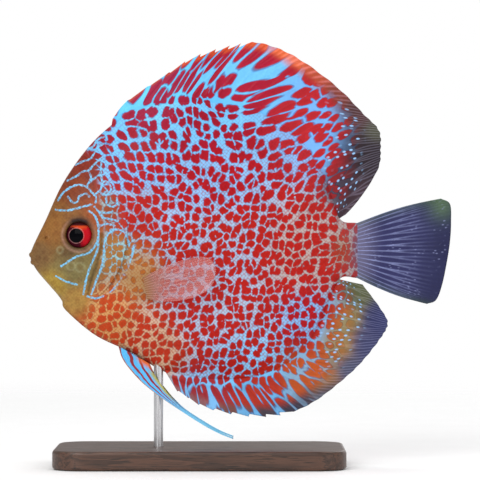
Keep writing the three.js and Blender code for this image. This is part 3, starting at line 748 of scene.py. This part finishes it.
u_steps = joined_steps(
    (0, 0.3, 8), (0.3, GILL - 0.04, 112), (GILL - 0.04, GILL + 0.12, 12), (GILL + 0.12, 13.5, 88),
    (13.5, LAST + 0.25, 18),
)
even = np.linspace(0, 1, 176)
v_steps = mix(even, 0.5 - 0.5 * np.cos(np.pi * even), 0.45)
u_grid, v_grid = np.meshgrid(u_steps, v_steps, indexing="ij")
x_grid, z_grid = flank_point(u_grid, v_grid)


def quarter(share):
    """The square of the height of a quarter circle at a share of the way in from its rim."""
    return np.clip(1 - (1 - np.clip(share, 0, 1)) ** 2, 0, 1)


SNOUT_ROUND, TAIL_ROUND = 0.3, 0.25  # how long the rounding is at each end, in stations


def rounded_edge(u, v):
    """A share that falls to 0 at crest, keel, snout and tail end in a quarter circle."""
    tall = np.hypot(*(upper_edge(u) - lower_edge(u)).transpose(2, 0, 1))
    near = np.minimum(v, 1 - v) * tall
    edge, snout = near / mix(keel_at(u), crest_at(u), v), u / SNOUT_ROUND
    tail = (LAST + TAIL_ROUND - u) / TAIL_ROUND
    return np.sqrt(quarter(edge) * quarter(snout) * quarter(tail))


face = u_grid < GILL + 0.7
lifted = np.zeros(u_grid.shape)
lifted[face] = relief(u_grid[face], v_grid[face], x_grid[face], z_grid[face])
y_half = (flank_half(u_grid, v_grid) + lifted) * rounded_edge(u_grid, v_grid)

# %% Colours and maps of the skin
# the last of these colours is painted shade: a dark olive for the groove in front of the gill cover
LID, LID_PALE, CHEEK_PALE, GROOVE_SHADE = tint("20161A"), tint("C49880"), tint("ACAC84"), tint("463A20")
FAR_OFF = 9.0  # a way to the nearest face line that is as good as none


def painted(colour, share, over):
    """A colour with a share of another one laid over it."""
    return mix(colour, over, np.clip(share, 0, 1)[..., None])


# the pattern's front edge: down, right
PATTERN_EDGE = np.array([
    (140, 78), (150, 88), (160, 95), (175, 99), (195, 101), (210, 102), (230, 106), (250, 104), (275, 99),
    (294, 93), (306, 88), (330, 82),
])


def skin_fields(right, down, u=None):
    """Colours and maps that the skin's material reads. An S along the pattern's front edge parts the spots
    from the plain face. Round the eye lie a pale rim and a dark brow: bells of the distance from the eye,
    over a part of the turn. Without u the point is on the lips, far from any line of the face."""
    spot, net, size = region_blend(right, down)
    share = smooth(-3, 3, right - np.interp(down, *PATTERN_EDGE.T))
    net = mix(spot, net, share[..., None])
    line = np.full(right.shape, FAR_OFF)
    if u is not None:
        on_face = u < GILL + 0.9

        def on_lines(curves, width):
            near = np.zeros(right.shape)
            near[on_face] = bell(nearest(right[on_face], down[on_face], curves), width)
            return near

        line[on_face] = nearest(right[on_face], down[on_face], face_curves)
        away = np.hypot(right - EYE_AT[0], down - EYE_AT[1])
        turn = np.degrees(np.arctan2(EYE_AT[1] - down, right - EYE_AT[0]))
        brow = bell(away - 14.6, 3.4) * np.clip(1.3 * bell(turn - 88, 52), 0.35, 1)
        rim = 0.65 * bell(away - 16.6, 1.3) * (1 - bell(turn - 80, 60))
        # painted shade: a dark olive band laid along the groove in front of the gill cover, where the crease
        # lies
        rings, groove_shade = 0.3 * on_lines(faint_curves, 1.1), 0.65 * on_lines([GROOVE], 1.7)
        for amount, over in ((rings, CHEEK_PALE), (groove_shade, GROOVE_SHADE), (rim, LID_PALE), (brow, LID)):
            spot, net = painted(spot, amount, over), painted(net, amount, over)
    maps = {"cells": cell_map(right, down), "shape": stacked(size, share, line)}
    return {"spot": spot, "net": net}, maps


# %% The skin as one piece
def two_sided(name, grid, sheet, *ending):
    """Both faces of a sheet: each point's x, z, half thickness and middle, then its colours and maps."""
    x, z, half, middle, colours, maps = sheet
    quads = grid_quads(*grid)
    both = [{key: np.tile(value, (2, 1)) for key, value in fields.items()} for fields in (colours, maps)]
    return make_piece(
        name,
        np.concatenate([stacked(x, middle + sign * half, z) for sign in (-1, 1)]),
        np.concatenate([quads, quads[:, ::-1] + len(x)]),
        *ending,
        *both,
    )


flat = [g.ravel() for g in (x_grid, z_grid, y_half, u_grid)]
two_sided(
    "skin", u_grid.shape, (*flat[:3], 0, *skin_fields(*drawn(*flat[:2]), flat[3])),
    flank_skin, "flank_skin", ("head", "gill_cover_left", "gill_cover_right", "trunk", "tail_stem"),
)

# %% [markdown]
# ## The fins
#
# A fin is a thin membrane held up by rays. Each is a grid of s along its base by t along its rays, on both
# faces of a middle sheet. The rays are ridges, and the soft ones fork in their outer half. The hard spines in
# front end in free tips with a notch behind each.

# %% Fin sheets
EDGE_HALF = 0.22 * MM


def fork(number, out, spines, spread=0.33, middle=1.0):
    """How near a point is to a ray: 1 on it and 0 between two. Soft rays part in three towards the rim, or in
    two where middle is 0."""
    offset = np.abs(number - np.round(number))
    apart = spread * smooth(0.35, 0.9, out) * (number > spines - 0.5)
    return np.maximum(bell(np.abs(offset - apart), 0.1), middle * bell(offset, 0.1))


def rayed_half(root_half, tip_half, rise, sink, out, ray):
    """Half thickness: from the root's to the tip's by the product of two S steps, plus a ridge on each ray
    that sinks by a share on the way out."""
    thin = smooth(0, 0.3, out) * smooth(-0.25, 0.85, out) ** 0.8
    return mix(root_half, tip_half, thin) + rise * (1 - sink * out) * smooth(0.02, 0.2, out) * ray


def fin_piece(name, columns, rows, sheet_at, *ending):
    """Both faces of a fin, rounded off at its rim by a quarter circle. sheet_at(s, t) gives its points."""
    s, t = np.meshgrid(np.linspace(0, 1, columns), np.linspace(0, 1, rows), indexing="ij")
    s, t = s.ravel(), t.ravel()
    x, z, half, *rest = sheet_at(s, t)
    steps_in = np.minimum(np.minimum(s, 1 - s) * columns / 2, (1 - t) * rows / 2)
    half = half * np.sqrt(quarter(steps_in))
    return two_sided(name, (columns, rows), (x, z, half, *rest), *ending)


# %% Measures of the fins on back and belly
DORSAL_TIPS = [
    (108, 126), (123, 104.5), (145, 88), (171, 71), (191, 58), (213, 50), (237, 44), (256, 42), (278, 48),
    (298, 58), (320, 73), (343, 92), (364, 114), (379, 130), (381, 148), (379, 167), (366, 190), (352, 208),
    (342, 218),
]
ANAL_TIPS = [
    (182, 394), (203, 407), (235, 415), (266, 417), (290, 413), (314, 402), (338, 384), (361, 363),
    (381, 338), (388, 323), (381, 309), (370, 294), (359, 280),
]
# how far each ray sweeps back to its tip, in stations, and how far it bulges, in drawing units, per station
DORSAL_SWEEP = [0, 0.35, 0.5, 0.35, 0.38, 0.62, 0.4, 0, -0.38, 0]
DORSAL_BULGE = [0, 0.5, 1, 2, 4.5, 8, 6, 2, 1, 0]
ANAL_SWEEP, ANAL_BULGE = [0, 0.05, 0.2, 0.2, -0.05, -0.3, 0], [0, 0.5, 3, 5, 3, 1, 0]
SPINE_NOTCH = 0.065
SCALLOP = 0.012
STREAKS_FULL = 18  # how far out the streaks reach their full length
RAY_RISE = 0.20 * MM
ROOT_DEEP = 2.2 * MM

# rim: place right, down; reach; colour
DORSAL_RIM = [
    ((150, 85), 30, "B84438"), ((205, 55), 30, "D0502C"), ((255, 46), 16, "D4542C"),
    ((290, 56), 18, "D86438"),
    ((316, 76), 16, "B04C34"), ((336, 96), 16, "783A30"), ((352, 112), 14, "482E2E"),
    ((376, 132), 9, "4A4A3C"), ((368, 158), 22, SMOKE), ((352, 195), 18, "3C2C34"),
]
ANAL_RIM = [
    ((195, 400), 22, "98686C"), ((235, 412), 18, "7C5450"), ((268, 415), 16, "4C4650"),
    ((295, 406), 16, "3C3C4C"),
    ((322, 378), 14, "96683C"), ((340, 345), 14, "94703C"), ((345, 318), 12, "847040"),
    ((366, 347), 16, "383C60"), ((380, 322), 14, "2C3058"), ((352, 369), 14, "40445C"),
    ((328, 393), 14, "40404E"), ((355, 292), 12, "54583C"),
]


# %% The fins on back and belly
def median_sheet(
    edge, outward, root_half, start, first, tips, sweep, bulge, spines, rays, rim, rim_wide, stretch
):
    """A fin on the body's edge. A ray goes from the base at u to the tip line at u plus sweep, bowed outwards
    by bulge times 4 reach times 1 less reach."""
    tip_line, sweep_at, bulge_at = through(side(tips)), through(sweep), through(np.array(bulge) * UNIT)
    width_at, stretch_at = through(rim_wide), through(stretch)
    rim_values = [(place, reach, tint(code)) for place, reach, code in rim]

    def sheet(s, t):
        u = mix(start, FIN_END, s)
        base = edge(u)
        across = tip_line((u + sweep_at(u - first) - first) * 2) - base
        length = np.hypot(*across.T)
        number = s * rays
        behind = number - np.floor(number)
        notch = SPINE_NOTCH * np.minimum(1, 5 * behind) * (1 - behind) ** 0.8 * 1.6
        cut = np.where(number < spines, notch, SCALLOP * np.sin(np.pi * behind) ** 2)
        along = mix(-ROOT_DEEP / np.maximum(length, MM), 1, t)
        reach = np.where(along > 0, along * (1 - cut), along)
        bow = outward * bulge_at(u - first) * 4 * np.clip(reach, 0, 1) * (1 - np.clip(reach, 0, 1))
        normal = stacked(-across[:, 1], across[:, 0]) / length[:, None]
        x, z = (base + across * reach[:, None] + bow[:, None] * normal).T
        right, down = drawn(x, z)
        out = np.clip(along, 0, 1)
        half = rayed_half(root_half(u) - 0.02 * MM, EDGE_HALF, RAY_RISE, 0.45, out, fork(number, out, spines))
        wave = 0.5 * MM * np.sin(number * 0.9) * smooth(0.35, 1, out)
        spot, net, size = region_blend(right, down)
        rim_own = average(right, down, rim_values)
        wide = width_at(s * 10)
        inwards = (1 - out) * length / UNIT / wide
        rear = smooth(0.3, 0.5, s)
        spot = painted(spot, 1 - smooth(0.3, 1.4, inwards), rim_own)
        net = painted(net, 0.75 * (1 - smooth(0.8, 1.5, inwards)) * rear, rim_own)
        fringe = smooth(0.35, 0.6, inwards) * (1 - smooth(1.1, 1.5, inwards)) * smooth(0.5, 0.65, s)
        maps = {
            "cells": streak_map(drawn(*base.T), right, down, stretch_at(s * 10), STREAKS_FULL),
            "shape": stacked(size, (1 - smooth(0.35, 1, inwards)) * rear, FAR_OFF),
            "rays": stacked(number + 0.5, out, fringe),
        }
        return x, z, half, wave, {"spot": spot, "net": net, "rim": rim_own}, maps

    return sheet


# after the rim's colours: its width in drawing units, and how much longer than wide the streaks are, at every
# tenth of the fin's base
fin_piece(
    "dorsal_fin_skin", 27 * 14 + 1, 90,
    median_sheet(
        upper_edge, 1, crest_at, DORSAL_START, 5, DORSAL_TIPS, DORSAL_SWEEP, DORSAL_BULGE, 9, 27, DORSAL_RIM,
        [4, 7, 9, 9, 10, 14, 24, 36, 46, 42, 26], [1.8, 3.4, 3.8, 3.0, 1.8, 1.2, 1.2, 1.2, 1.3, 1.3, 1.3],
    ),
    fin_skin, "fin_membrane", ("dorsal_fin",),
)
fin_piece(
    "anal_fin_skin", 24 * 14 + 1, 80,
    median_sheet(
        lower_edge, -1, keel_at, ANAL_START, 8, ANAL_TIPS, ANAL_SWEEP, ANAL_BULGE, 8, 24, ANAL_RIM,
        [8, 12, 14, 16, 18, 22, 34, 48, 50, 42, 24], [2.6, 3.4, 3.6, 3.2, 2.8, 2.2, 1.8, 1.5, 1.4, 1.4, 1.4],
    ),
    fin_skin, "fin_membrane", ("anal_fin",),
)

# %% [markdown]
# ## The tail fin
#
# The tail fin is a dark indigo fan. Its rays fork twice, and are paler than the membrane between them. It
# starts under the scales of the tail stem.

# %% Tail fin material
tail_skin, surface, w = new_material("tail fin", Coat_Weight=0.08, Coat_Roughness=0.2, Specular_IOR_Level=0.2)
number, out, _ = w.split(w.field("rays"))
line = w.group(
    ray_lines, Number=number, Out=out, Fork_from=0.25, Fork_to=0.7, Spread=0.25, Middle=0.0, Width=0.2
)["Line"]
streaks = w.noise(w.object_place(), 160.0, detail=3.0)
fade = w.times(w.ramp(out, 0.95, 0.12), w.ramp(streaks, 0.3, 0.7, 0.45, 0.95))
colour = w.blend(w.times(line, fade), w.field("rim", "Color"), ink("8890C0"))
speck = w.voronoi(w.joined(w.times(number, 2.0), w.times(out, 13.0)), 1.0, "F1", 0.9).outputs["Distance"]
specks = w.times(w.ramp(speck, 0.22, 0.1), w.ramp(streaks, 0.5, 0.62))
colour = w.blend(w.times(specks, 0.35), colour, ink("9CA4D4"))
w.put(surface["Base Color"], mottled(w, surface, colour, 0.2, 0.42, 0.58))
w.put(surface["Normal"], w.bump(line, 0.15, 0.0002))

# %% Tail fin
TAIL_TIPS = [
    (441, 198.5), (450, 204), (451, 222), (450, 242), (447, 262), (442, 285), (436, 300), (427, 304),
]
TAIL_RAYS = 16
FAN_SWELL = 1.2 * MM
TAIL_ROOT, TAIL_BLUE, TAIL_END, TAIL_GREEN = tint("605C78"), tint("2A2A56"), tint("202248"), tint("4A6048")


def fan(root, tips, s, along):
    """From a root line to a tip line, the outer edges bowed out by half a sine."""
    tip = through(side(tips))(s * (len(tips) - 1))
    x, z = mix(root, tip, along[:, None]).T
    return x, z + FAN_SWELL * np.sin(np.pi * np.clip(along, 0, 1)) * (1 - 2 * s)


def tail_sheet(s, t):
    """A fan from the stem's end line to the tips."""
    u = np.full_like(s, LAST)
    along = mix(-0.07, 1, t)
    x, z = fan(mix(upper_edge(u), lower_edge(u), s[:, None]), TAIL_TIPS, s, along)
    number = s * TAIL_RAYS
    out = np.clip(along, 0, 1)
    root_half = flank_half(u, 1 - s) - 0.05 * MM
    half = rayed_half(root_half, EDGE_HALF, 0.24 * MM, 0.5, out, fork(number, out, 0, 0.25, 0))
    wave = 0.6 * MM * np.sin(number * 0.8 + 1) * smooth(0.3, 1, out)
    right, down = drawn(x, z)
    blue = painted(painted(TAIL_ROOT, smooth(0, 0.3, out), TAIL_BLUE), smooth(0.5, 1, out), TAIL_END)
    green = bell(np.hypot(right - 442, down - 206), 14) + 0.4 * bell(np.minimum(s, 1 - s), 0.1)
    blue = painted(blue, 0.85 * green, TAIL_GREEN)
    return x, z, half, wave, {"rim": blue}, {"rays": stacked(number + 0.5, out, 0)}


fin_piece("tail_fin_skin", TAIL_RAYS * 14 + 1, 80, tail_sheet, tail_skin, "tail_membrane", ("tail_fin",))

# %% [markdown]
# ## The eyes
#
# An eye is a flattened ball in its socket. Iris and pupil are painted by the distance from their centres in
# the side view, and a clear coat over them gives the one sharp highlight that makes an eye look alive.

# %% Eye material
PUPIL_AT = (77.6, 235.6)
PUPIL_WIDE = 7.1
IRIS_RIM = ink("3A1418")
eye_glass, surface, w = new_material("eye", Coat_Weight=0.06, Coat_Roughness=0.02, Specular_IOR_Level=0.0)
away, behind, above = w.split(w.field("look"))  # units from the iris centre; right of the pupil's; above it
from_pupil = w.math("SQRT", w.plus(w.math("POWER", behind, 2.0), w.math("POWER", above, 2.0)))
around = w.noise(w.object_place(), 1500.0)
fibre = w.times(w.less(around, 0.5), 5.0)
lit = w.plus(w.times(behind, 0.9), w.times(above, 0.25))
high = w.less(above, w.times(w.math("ABSOLUTE", w.less(behind, 4.0)), 0.45))
ring = w.times(w.ramp(from_pupil, 7.0, 7.5), w.ramp(from_pupil, 8.2, 7.7))
iris = w.layers(
    ink("3C0A18"),
    (w.ramp(w.plus(lit, fibre), -1.0, 7.0), ink("B41420")),
    (w.ramp(w.plus(high, fibre), 2.5, 7.5), ink("C44420")),
    (w.ramp(away, 12.1, 13.0), IRIS_RIM),
    (w.ramp(above, 8.5, 11.0), IRIS_RIM),
    (w.times(ring, w.ramp(around, 0.35, 0.65, 0.3, 0.75)), ink("A87C78")),
    (w.ramp(from_pupil, PUPIL_WIDE + 0.25, PUPIL_WIDE - 0.25), (0.002, 0.002, 0.003, 1)),
)
w.put(surface["Base Color"], iris)
w.put(surface["Roughness"], w.ramp(around, 0.3, 0.7, 0.3, 0.45))

# %% Eyeballs
SIDES = (("left", -1), ("right", 1))
EYE_DEEP, EYE_SINK = 3.3 * MM, 1.5 * MM
eye_x, eye_z = side(EYE_AT)
plain_half = flank_half(u_grid, v_grid)
around_eye = np.hypot(x_grid - eye_x, z_grid - eye_z) < 4 * MM
terms = stacked(1, x_grid[around_eye] - eye_x, z_grid[around_eye] - eye_z)
slope = np.linalg.lstsq(terms, plain_half[around_eye], rcond=None)[0]


def eyeball(name, sign, replaced):
    """A ball flattened along the flank's own direction there: radius times sine and cosine of two angles."""
    facing = np.array([-slope[1], sign, -slope[2]])
    facing /= np.linalg.norm(facing)
    level = np.cross([0, 0, 1.0], facing)
    level /= np.linalg.norm(level)
    upright = np.cross(facing, level)
    tip, spin = np.meshgrid(np.linspace(0, np.pi, 49), np.linspace(0, 2 * np.pi, 97), indexing="ij")
    tip, spin = tip.reshape(-1, 1), spin.reshape(-1, 1)
    centre = np.array([eye_x, sign * slope[0], eye_z]) - EYE_SINK * facing
    ring = EYE_WIDE * (np.sin(tip) * np.cos(spin)) * level + EYE_WIDE * (np.sin(tip) * np.sin(spin)) * upright
    points = centre + ring + EYE_DEEP * np.cos(tip) * facing
    right, down = drawn(points[:, 0], points[:, 2])
    iris_away = np.hypot(right - EYE_AT[0], down - EYE_AT[1])
    look = stacked(iris_away, right - PUPIL_AT[0], PUPIL_AT[1] - down)
    make_piece(name, points, grid_quads(49, 97), eye_glass, "eye", replaced, maps={"look": look})


for word, sign in SIDES:
    eyeball("eyeball_" + word, sign, ("eye_" + word,))

# %% [markdown]
# ## The lips
#
# A discus has a small mouth with two thick lips. Each lip is a tube carried round the snout, thinner at the
# corners, and sunk half way into the skin.

# %% Lips
LIP_HALF_WIDTH = 3.5 * MM
LIP_ROUNDING = 2.4


def lip(name, front, corner, radius):
    """A circle carried along a curve from corner to corner: back by away to a power, across by a sine."""
    a = np.linspace(-1, 1, 61)
    away = np.abs(a) ** LIP_ROUNDING
    (fx, fz), (cx, cz) = side(front), side(corner)
    path = stacked(mix(fx, cx, away), LIP_HALF_WIDTH * np.sin(a * np.pi / 2), mix(fz, cz, a * a))
    ahead = np.gradient(path, axis=0)
    ahead /= np.linalg.norm(ahead, axis=1)[:, None]
    out = np.cross(ahead, [0, 0, 1.0])
    out /= np.linalg.norm(out, axis=1)[:, None]
    over = np.cross(out, ahead)
    thick = mix(radius, 0.5 * radius, away) * np.sqrt(np.clip(1 - np.abs(a) ** 40, 0, 1))
    spin = np.linspace(0, 2 * np.pi, 25)
    ring = out[:, None] * np.cos(spin)[None, :, None] + over[:, None] * np.sin(spin)[None, :, None]
    points = (path[:, None] + thick[:, None, None] * ring).reshape(-1, 3)
    fields = skin_fields(*drawn(points[:, 0], points[:, 2]))
    make_piece(name, points, grid_quads(61, 25), flank_skin, "head_skin", (), *fields)


lip("lip_upper", (32.1, 254.8), (45, 261.5), 1.3 * MM)
lip("lip_lower", (33.4, 261.9), (45, 266), 1.25 * MM)

# %% [markdown]
# ## The paired fins
#
# The pectoral fins are clear, pale pink fans, so the pattern behind shows through. The pelvic fins are narrow
# blades with bright blue and maroon stripes that end in long threads.

# %% Clear fin material
clear_fin, surface, w = new_material(
    "clear fin", Coat_Weight=0.1, Coat_Roughness=0.15, Specular_IOR_Level=0.25
)
number, out, root = w.split(w.field("rays"))  # ray number, way out, fleshy root's share
line = w.group(
    ray_lines, Number=number, Out=out, Fork_from=0.2, Fork_to=0.8, Spread=0.25, Middle=0.0, Width=0.14
)["Line"]
colour = w.layers(ink("C88484"), (root, ink("94643C")), (w.times(line, 0.4), ink("E4BCB4")))
w.put(surface["Base Color"], mottled(w, surface, colour, 0.12, 0.35, 0.5))
solid_share = w.plus(w.times(line, 0.16), w.times(root, 0.6))
w.put(surface["Alpha"], w.math("ADD", solid_share, 0.24, clamp=True))

# %% Pectoral fins
PECTORAL_ROOT = ((144, 277), (148, 299))
PECTORAL_TIPS = [(199, 256), (210, 258), (216, 266), (216, 275), (213, 284), (206, 291), (194, 297)]
PECTORAL_RAYS = 11
PECTORAL_SPREAD = 8 * MM
PECTORAL_ROOT_HALF, PECTORAL_EDGE_HALF, PECTORAL_RAY_RISE = 0.8 * MM, 0.16 * MM, 0.16 * MM
PECTORAL_CLEAR = 0.4 * MM
near_fin = (u_grid > 5.2) & (u_grid < 10.5) & (v_grid > 0.1) & (v_grid < 0.85)
fin_bed_x, fin_bed_z, fin_bed_half = (grid[near_fin][::5] for grid in (x_grid, z_grid, plain_half))


def flank_under(x, z):
    """The flank's half thickness at places of the side view, from its nearest grid point."""
    return fin_bed_half[[np.hypot(fin_bed_x - a, fin_bed_z - b).argmin() for a, b in zip(x, z)]]


def pectoral_place(s, t):
    """A fan from a short root line to a curved tip line."""
    return fan(mix(*side(PECTORAL_ROOT), s[:, None]), PECTORAL_TIPS, s, t)


def pectoral_terms(s, t):
    """The terms of a low polynomial that stands in for the flank under the fin."""
    return stacked(1, s, t, s * s, s * t, t * t, t ** 3)


coarse = np.meshgrid(np.linspace(0, 1, 9), np.linspace(0, 1, 9), indexing="ij")
coarse = [grid.ravel() for grid in coarse]
under_fit = np.linalg.lstsq(pectoral_terms(*coarse), flank_under(*pectoral_place(*coarse)), rcond=None)[0]


def pectoral_sheet(sign):
    """The fan, held off the flank more and more towards its tips."""

    def sheet(s, t):
        x, z = pectoral_place(s, t)
        number = s * PECTORAL_RAYS
        ray = fork(number, t, 0, 0.25, 0)
        half = rayed_half(PECTORAL_ROOT_HALF, PECTORAL_EDGE_HALF, PECTORAL_RAY_RISE, 0.5, t, ray)
        off = PECTORAL_CLEAR + PECTORAL_ROOT_HALF + PECTORAL_SPREAD * smooth(0, 1.3, t)
        middle = sign * (pectoral_terms(s, t) @ under_fit + off)
        middle = middle + 0.25 * MM * np.sin(number * 1.1) * smooth(0.3, 1, t)
        return x, z, half, middle, {}, {"rays": stacked(number + 0.5, t, 1 - smooth(0, 0.25, t))}

    return sheet


def paired_fins(name, node, columns, rows, sheet_of, material, slot):
    """The same fin on both sides."""
    for word, sign in SIDES:
        fin_piece(name + word, columns, rows, sheet_of(sign), material, slot, (node + word,))


paired_fins(
    "pectoral_fan_", "pectoral_fin_", PECTORAL_RAYS * 10 + 1, 48, pectoral_sheet, clear_fin, "clear_fin"
)

# %% Pelvic fin material
pelvic_skin, surface, w = new_material(
    "pelvic fin", Coat_Weight=0.1, Coat_Roughness=0.15, Specular_IOR_Level=0.2
)
stripe, out, trailing = w.split(w.field("rays"))  # stripe number, way out, share of the trailing edge
waver = w.noise(w.object_place(), 260.0, detail=1.0)
band = w.math("ABSOLUTE", w.less(w.math("FRACT", w.plus(stripe, w.times(waver, 0.6))), 0.5))
leading = w.times(w.times(w.ramp(stripe, 0.5, 0.2), w.ramp(out, 0.1, 0.3)), w.ramp(out, 0.7, 0.55))
hind_root = w.times(w.ramp(out, 0.16, 0.0), w.ramp(stripe, 1.5, 2.6))
colour = w.layers(
    ink("8C2430"),
    (w.ramp(band, 0.14, 0.24), ink("54B4EC")),
    (trailing, ink("A8A458")),
    (w.ramp(out, 0.45, 0.7), ink("78C8F0")),
    (leading, ink("C08048")),
    (hind_root, ink("D8642C")),
)
w.put(surface["Base Color"], mottled(w, surface, colour, 0.16, 0.32, 0.48))

# %% Pelvic fins
PELVIC_FRONT = [
    (119, 347.5), (122, 357), (129, 367.5), (143, 382.5), (161, 396.5), (181, 410), (203, 424), (219, 432.5),
    (233, 438),
]
PELVIC_BACK = [
    (150, 364.5), (153, 371), (158, 379), (166, 389.8), (174, 399.2), (185, 409.6), (204.4, 422.3),
    (219.8, 431), (233.6, 436.8),
]
PELVIC_RAYS = 5
PELVIC_STRIPES = 3
PELVIC_ROOT_Y, PELVIC_SPLAY, PELVIC_ROOT_HALF = 2.1 * MM, 4.2 * MM, 0.9 * MM
PELVIC_THREAD_HALF, PELVIC_RAY_RISE = 0.3 * MM, 0.14 * MM
pelvic_front_line, pelvic_back_line = through(side(PELVIC_FRONT)), through(side(PELVIC_BACK))


def pelvic_sheet(sign):
    """A blade between a front and a back line that run together into a thread."""

    def sheet(s, t):
        along = mix(-0.02, 1, t)
        at = along * (len(PELVIC_FRONT) - 1)
        x, z = mix(pelvic_front_line(at), pelvic_back_line(at), s[:, None]).T
        out = np.clip(along, 0, 1)
        ray = fork(s * PELVIC_RAYS, 0 * out, 0)
        half = mix(PELVIC_ROOT_HALF, PELVIC_THREAD_HALF, smooth(0, 0.5, out))
        half = half + PELVIC_RAY_RISE * smooth(0.02, 0.1, out) * (1 - smooth(0.4, 0.8, out)) * ray
        middle = sign * (PELVIC_ROOT_Y + PELVIC_SPLAY * smooth(0, 0.6, out))
        trailing = smooth(0.72, 0.95, s) * smooth(0.1, 0.2, out) * (1 - smooth(0.4, 0.6, out))
        return x, z, half, middle, {}, {"rays": stacked(s * PELVIC_STRIPES + 0.2, out, trailing)}

    return sheet


paired_fins(
    "pelvic_blade_", "pelvic_fin_", PELVIC_RAYS * 8 + 1, 120, pelvic_sheet, pelvic_skin, "fin_membrane"
)

# %% [markdown]
# ## The stand
#
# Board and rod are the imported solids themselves. The board gets a dark oiled wood, its grain drawn out along
# its length, and the rod a brushed steel.

# %% Stand materials
wood, surface, w = new_material("dark wood")
place = w.object_place()
growth = w.noise(w.vector("MULTIPLY", place, (12.0, 160.0, 160.0)), 1.0, detail=4.0, rough=0.6)
rings = w.math("FRACT", w.times(growth, 7.0))
pore = w.noise(w.vector("MULTIPLY", place, (120.0, 2600.0, 2600.0)), 1.0)
layers = (w.ramp(rings, 0.1, 0.9), ink("54382A")), (w.ramp(pore, 0.55, 0.7), ink("22160F"))
w.put(surface["Base Color"], w.layers(ink("3A261C"), *layers))
w.put(surface["Roughness"], w.ramp(pore, 0.3, 0.7, 0.34, 0.5))
w.put(surface["Normal"], w.bump(pore, 0.2, 0.0001))
steel, surface, w = new_material("brushed steel", Metallic=1.0)
brushed = w.noise(w.vector("MULTIPLY", w.object_place(), (3000.0, 3000.0, 120.0)), 1.0)
w.put(surface["Base Color"], w.blend(brushed, (0.52, 0.52, 0.54, 1), (0.66, 0.66, 0.67, 1)))
w.put(surface["Roughness"], w.ramp(brushed, 0.3, 0.7, 0.22, 0.36))
for node, material in (("stand_base", wood), ("stand_rod", steel)):
    nodes[node].data.materials.clear()
    nodes[node].data.materials.append(material)

# %% [markdown]
# ## Floor and light
#
# The floor is a pale round sheet that fades out into a white room, so that every side of the fish can be
# seen. The lamps are large and soft: a key and a fill in front, one above and a weak one behind.

# %% Floor
FLOOR_REACH, FLOOR_DROP = 0.9, 0.0002
turn = np.linspace(0, 2 * np.pi, 97)[:-1]
ring = stacked(FLOOR_REACH * np.cos(turn), FLOOR_REACH * np.sin(turn), -FLOOR_DROP)
floor_mesh = bpy.data.meshes.new("floor")
floor_mesh.from_pydata(ring.tolist(), [], [list(range(len(turn)))])
floor = bpy.data.objects.new("floor", floor_mesh)
bpy.context.scene.collection.objects.link(floor)
paper, surface, w = new_material("paper", Roughness=0.9)
speck = w.noise(w.object_place(), 40.0)
w.put(surface["Base Color"], w.blend(speck, (0.86, 0.86, 0.86, 1), (0.9, 0.9, 0.9, 1)))
away = w.vector("LENGTH", w.object_place())
w.put(surface["Alpha"], w.ramp(away, 0.95 * FLOOR_REACH, 0.3 * FLOOR_REACH))
floor_mesh.materials.append(paper)


# %% Lights
FISH_AT = (0, 0, 0.1)


def soft_light(name, place, size, power):
    """A square lamp of one size that faces the fish."""
    data = bpy.data.lights.new(name, "AREA")
    data.size = size
    data.energy = power
    lamp = bpy.data.objects.new(name, data)
    lamp.location = place
    away = np.array(FISH_AT) - np.array(place)
    tilt = math.acos(-away[2] / np.linalg.norm(away))
    lamp.rotation_euler = (tilt, 0, math.atan2(away[1], away[0]) - math.radians(90))
    bpy.context.scene.collection.objects.link(lamp)


soft_light("key", (-0.5, -1.0, 0.6), 0.8, 9)
soft_light("fill", (0.9, -0.8, 0.4), 1.0, 3)
soft_light("top", (0, 0.1, 1.2), 0.9, 6.5)
soft_light("back", (0.6, 1.1, 0.6), 1.0, 4)
ROOM_GLOW, ROOM_SEEN = 0.5, 1.0  # what the white room gives as light, and how bright it looks
world = bpy.data.worlds.new("room")
world.use_nodes = True
room = world.node_tree.nodes["Background"].inputs
room["Color"].default_value = (1, 1, 1, 1)
w = Wiring(world.node_tree)
seen = w.node("LightPath").outputs["Is Camera Ray"]
w.put(room["Strength"], w.plus(ROOM_GLOW, w.times(seen, ROOM_SEEN - ROOM_GLOW)))
bpy.context.scene.world = world
bpy.context.scene.view_settings.view_transform = "Standard"
